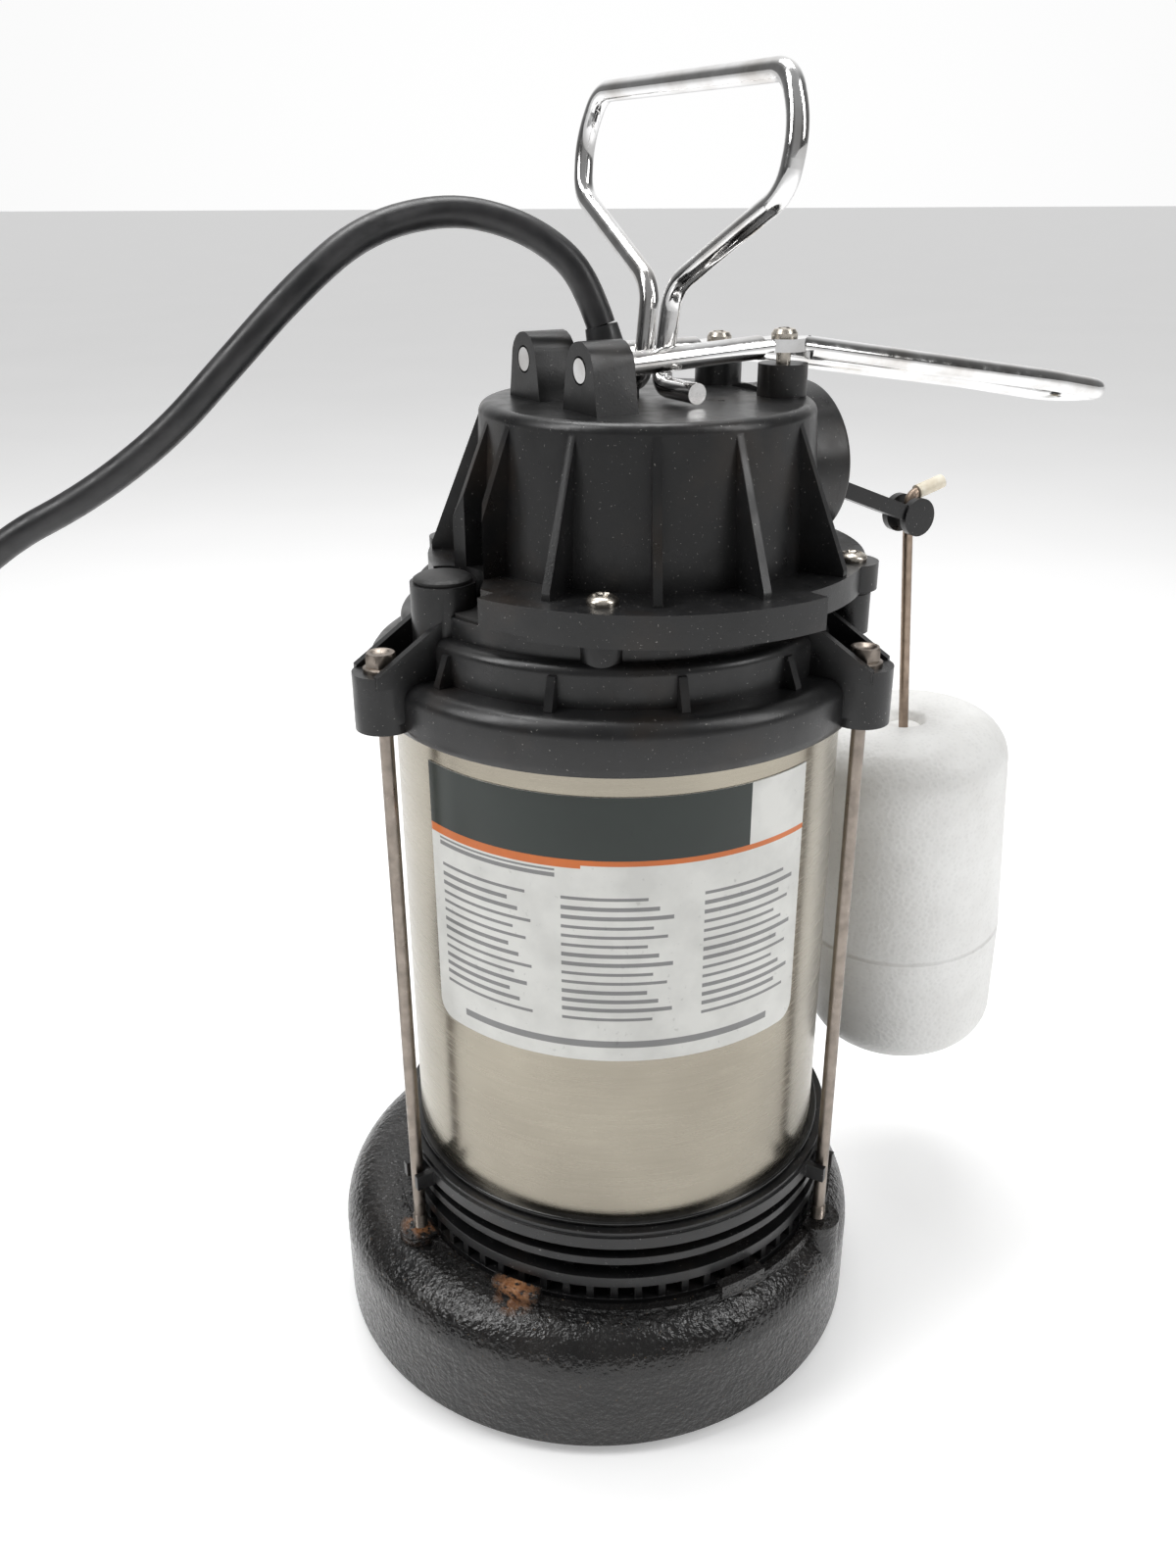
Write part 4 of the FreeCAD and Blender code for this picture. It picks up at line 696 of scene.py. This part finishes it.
def chromed_wire():
    material, tree, shader = new_material("chromed_wire", (0.80, 0.80, 0.80), 0.1, 1.0)
    tone = ramp(tree, noise(tree, 70.0, 4.0), [(0.3, (0.62, 0.60, 0.58)), (0.6, (0.86, 0.86, 0.86))])
    tree.links.new(tone, shader.inputs["Base Color"])
    worn = ramp(tree, noise(tree, 300.0, 3.0), [(0.4, 0.07), (0.75, 0.22)])
    tree.links.new(worn, shader.inputs["Roughness"])
    bumped(tree, shader, noise(tree, 60.0, 2.0), 0.04, 0.0005)
    return material


chrome = chromed_wire()
dress(smooth_cad("guard_loop"), chrome)
dress(smooth_cad("carry_bail"), chrome)

# ---- Float, its rod and sleeve ----------------------------------------------------------------------
# Closed-cell white foam, moulded in two halves with a faint parting line and a pebbled skin.
# It slides on a dull bronze rod, whose hooked top turns in an ivory nylon sleeve.
FLOAT_R = 0.0375
FLOAT_BOTTOM = 0.065
FLOAT_TOP = 0.200
FLOAT_SWING = math.radians(5.3)
FLOAT_EDGE_R = 0.015
FLOAT_SEAM_SHARE = 0.38
QUARTER_STEPS = 14
YOKE_ALONG = 0.1051
YOKE_Z = 0.2755


def pebbled_foam():
    material, tree, shader = new_material("pebbled_foam", (0.80, 0.80, 0.78), 0.42)
    place = add_node(tree, "ShaderNodeTexCoord")
    cells = add_node(tree, "ShaderNodeTexVoronoi", Scale=560.0)
    tree.links.new(place.outputs["Object"], cells.inputs["Vector"])
    tone = ramp(tree, noise(tree, 30.0, 5.0), [(0.3, (0.74, 0.735, 0.715)), (0.65, (0.86, 0.86, 0.845))])
    # Painted shade: the colour is darkened a little in each dimple of the pebbled skin, deepest at the
    # pit's centre, following the same cells as the bump.
    pit_shade = ramp(tree, cells.outputs["Distance"], [(0.0, (0.62, 0.62, 0.62)), (0.45, (1.0, 1.0, 1.0))])
    tree.links.new(blend(tree, 0.2, tone, pit_shade, "MULTIPLY"), shader.inputs["Base Color"])
    bumped(tree, shader, cells.outputs["Distance"], 0.3, 0.0005)
    bumped(tree, shader, noise(tree, 90.0, 3.0), 0.3, 0.001)
    return material


def ivory_nylon():
    material, tree, shader = new_material("ivory_nylon", (0.80, 0.74, 0.60), 0.45)
    tone = ramp(tree, noise(tree, 200.0, 3.0), [(0.3, (0.66, 0.58, 0.44)), (0.7, (0.86, 0.81, 0.68))])
    tree.links.new(tone, shader.inputs["Base Color"])
    return material


def float_mesh():
    low = FLOAT_BOTTOM
    high = FLOAT_TOP
    outline = [(0.0024, low + 0.003), (0.009, low + 0.0002)]
    for step in range(QUARTER_STEPS + 1):
        angle = -math.pi / 2 + math.pi / 2 * step / QUARTER_STEPS
        radius = FLOAT_R - 0.017 + FLOAT_EDGE_R * math.cos(angle)
        outline.append((radius, low + FLOAT_EDGE_R + FLOAT_EDGE_R * math.sin(angle)))
    seam = low + FLOAT_SEAM_SHARE * (high - low)
    outline += [(FLOAT_R - 0.0001, seam - 0.0011), (FLOAT_R - 0.0006, seam - 0.0004),
                (FLOAT_R - 0.0006, seam + 0.0004), (FLOAT_R - 0.0001, seam + 0.0011)]
    for step in range(QUARTER_STEPS + 1):
        angle = math.pi / 2 * step / QUARTER_STEPS
        radius = FLOAT_R - FLOAT_EDGE_R + FLOAT_EDGE_R * math.cos(angle)
        outline.append((radius, high - FLOAT_EDGE_R + FLOAT_EDGE_R * math.sin(angle)))
    outline += [(0.0095, high), (0.0075, high - 0.0015), (0.0062, high - 0.004), (0.0024, high - 0.004)]
    mesh = turned_mesh("foam_float", outline, (0.0, 0.0), 128)
    yoke = on_cap(YOKE_ALONG, 0.0, YOKE_Z)
    swing = Matrix.Rotation(FLOAT_SWING, 4, on_cap(0.0, 1.0, 0.0) - on_cap(0.0, 0.0, 0.0))
    mesh.transform(Matrix.Translation(yoke) @ swing @ Matrix.Translation((0.0, 0.0, -YOKE_Z)))
    return mesh


foam = new_piece("foam_float", float_mesh())
dress(foam, pebbled_foam())
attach(foam, "float_buoy")
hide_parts("float")
dress(smooth_cad("float_rod"), bright_steel("bronze_rod", (0.36, 0.28, 0.22), 0.36))
dress(smooth_cad("hook_sleeve"), ivory_nylon())

# ---- Inside: motor, bearings, seal and switch ---------------------------------------------------------
# Hidden when the pump is whole: laminated cores, copper windings, cast brackets, a ceramic and
# graphite seal, and red-brown switch mouldings, pressed or screwed in place.
INNER_FINISHES = {
    "cast_aluminium": ((0.62, 0.63, 0.64), 0.45, 1.0, ("seal_plate", "upper_bracket", "capacitor",
                                                       "lower_end_ring", "upper_end_ring")),
    "core_steel": ((0.30, 0.31, 0.33), 0.4, 1.0, ("stator_core", "rotor_core")),
    "enamelled_copper": ((0.55, 0.23, 0.09), 0.35, 1.0, ("lower_winding", "upper_winding")),
    "plain_brass": ((0.72, 0.52, 0.24), 0.3, 1.0, ("impeller_nut", "plug_blades")),
    "ground_ceramic": ((0.84, 0.82, 0.75), 0.2, 0.0, ("seal_seat",)),
    "seal_graphite": ((0.05, 0.05, 0.055), 0.45, 0.0, ("seal_head",)),
    "phenolic": ((0.30, 0.07, 0.04), 0.4, 0.0, ("micro_switch", "terminal_block", "switch_plunger")),
    "impeller_plastic": ((0.03, 0.03, 0.032), 0.45, 0.0, ("impeller",)),
}


def inner_finish(name, colour, roughness, metallic):
    material, tree, shader = new_material(name, colour, roughness, metallic)
    dark = tuple(0.7 * value for value in colour)
    tone = ramp(tree, noise(tree, 140.0, 4.0), [(0.3, dark), (0.65, colour)])
    tree.links.new(tone, shader.inputs["Base Color"])
    bumped(tree, shader, noise(tree, 600.0, 3.0), 0.15, 0.0003)
    return material


for name, (colour, roughness, metallic, members) in INNER_FINISHES.items():
    finish = inner_finish(name, colour, roughness, metallic)
    for member in members:
        dress(smooth_cad(member), finish)
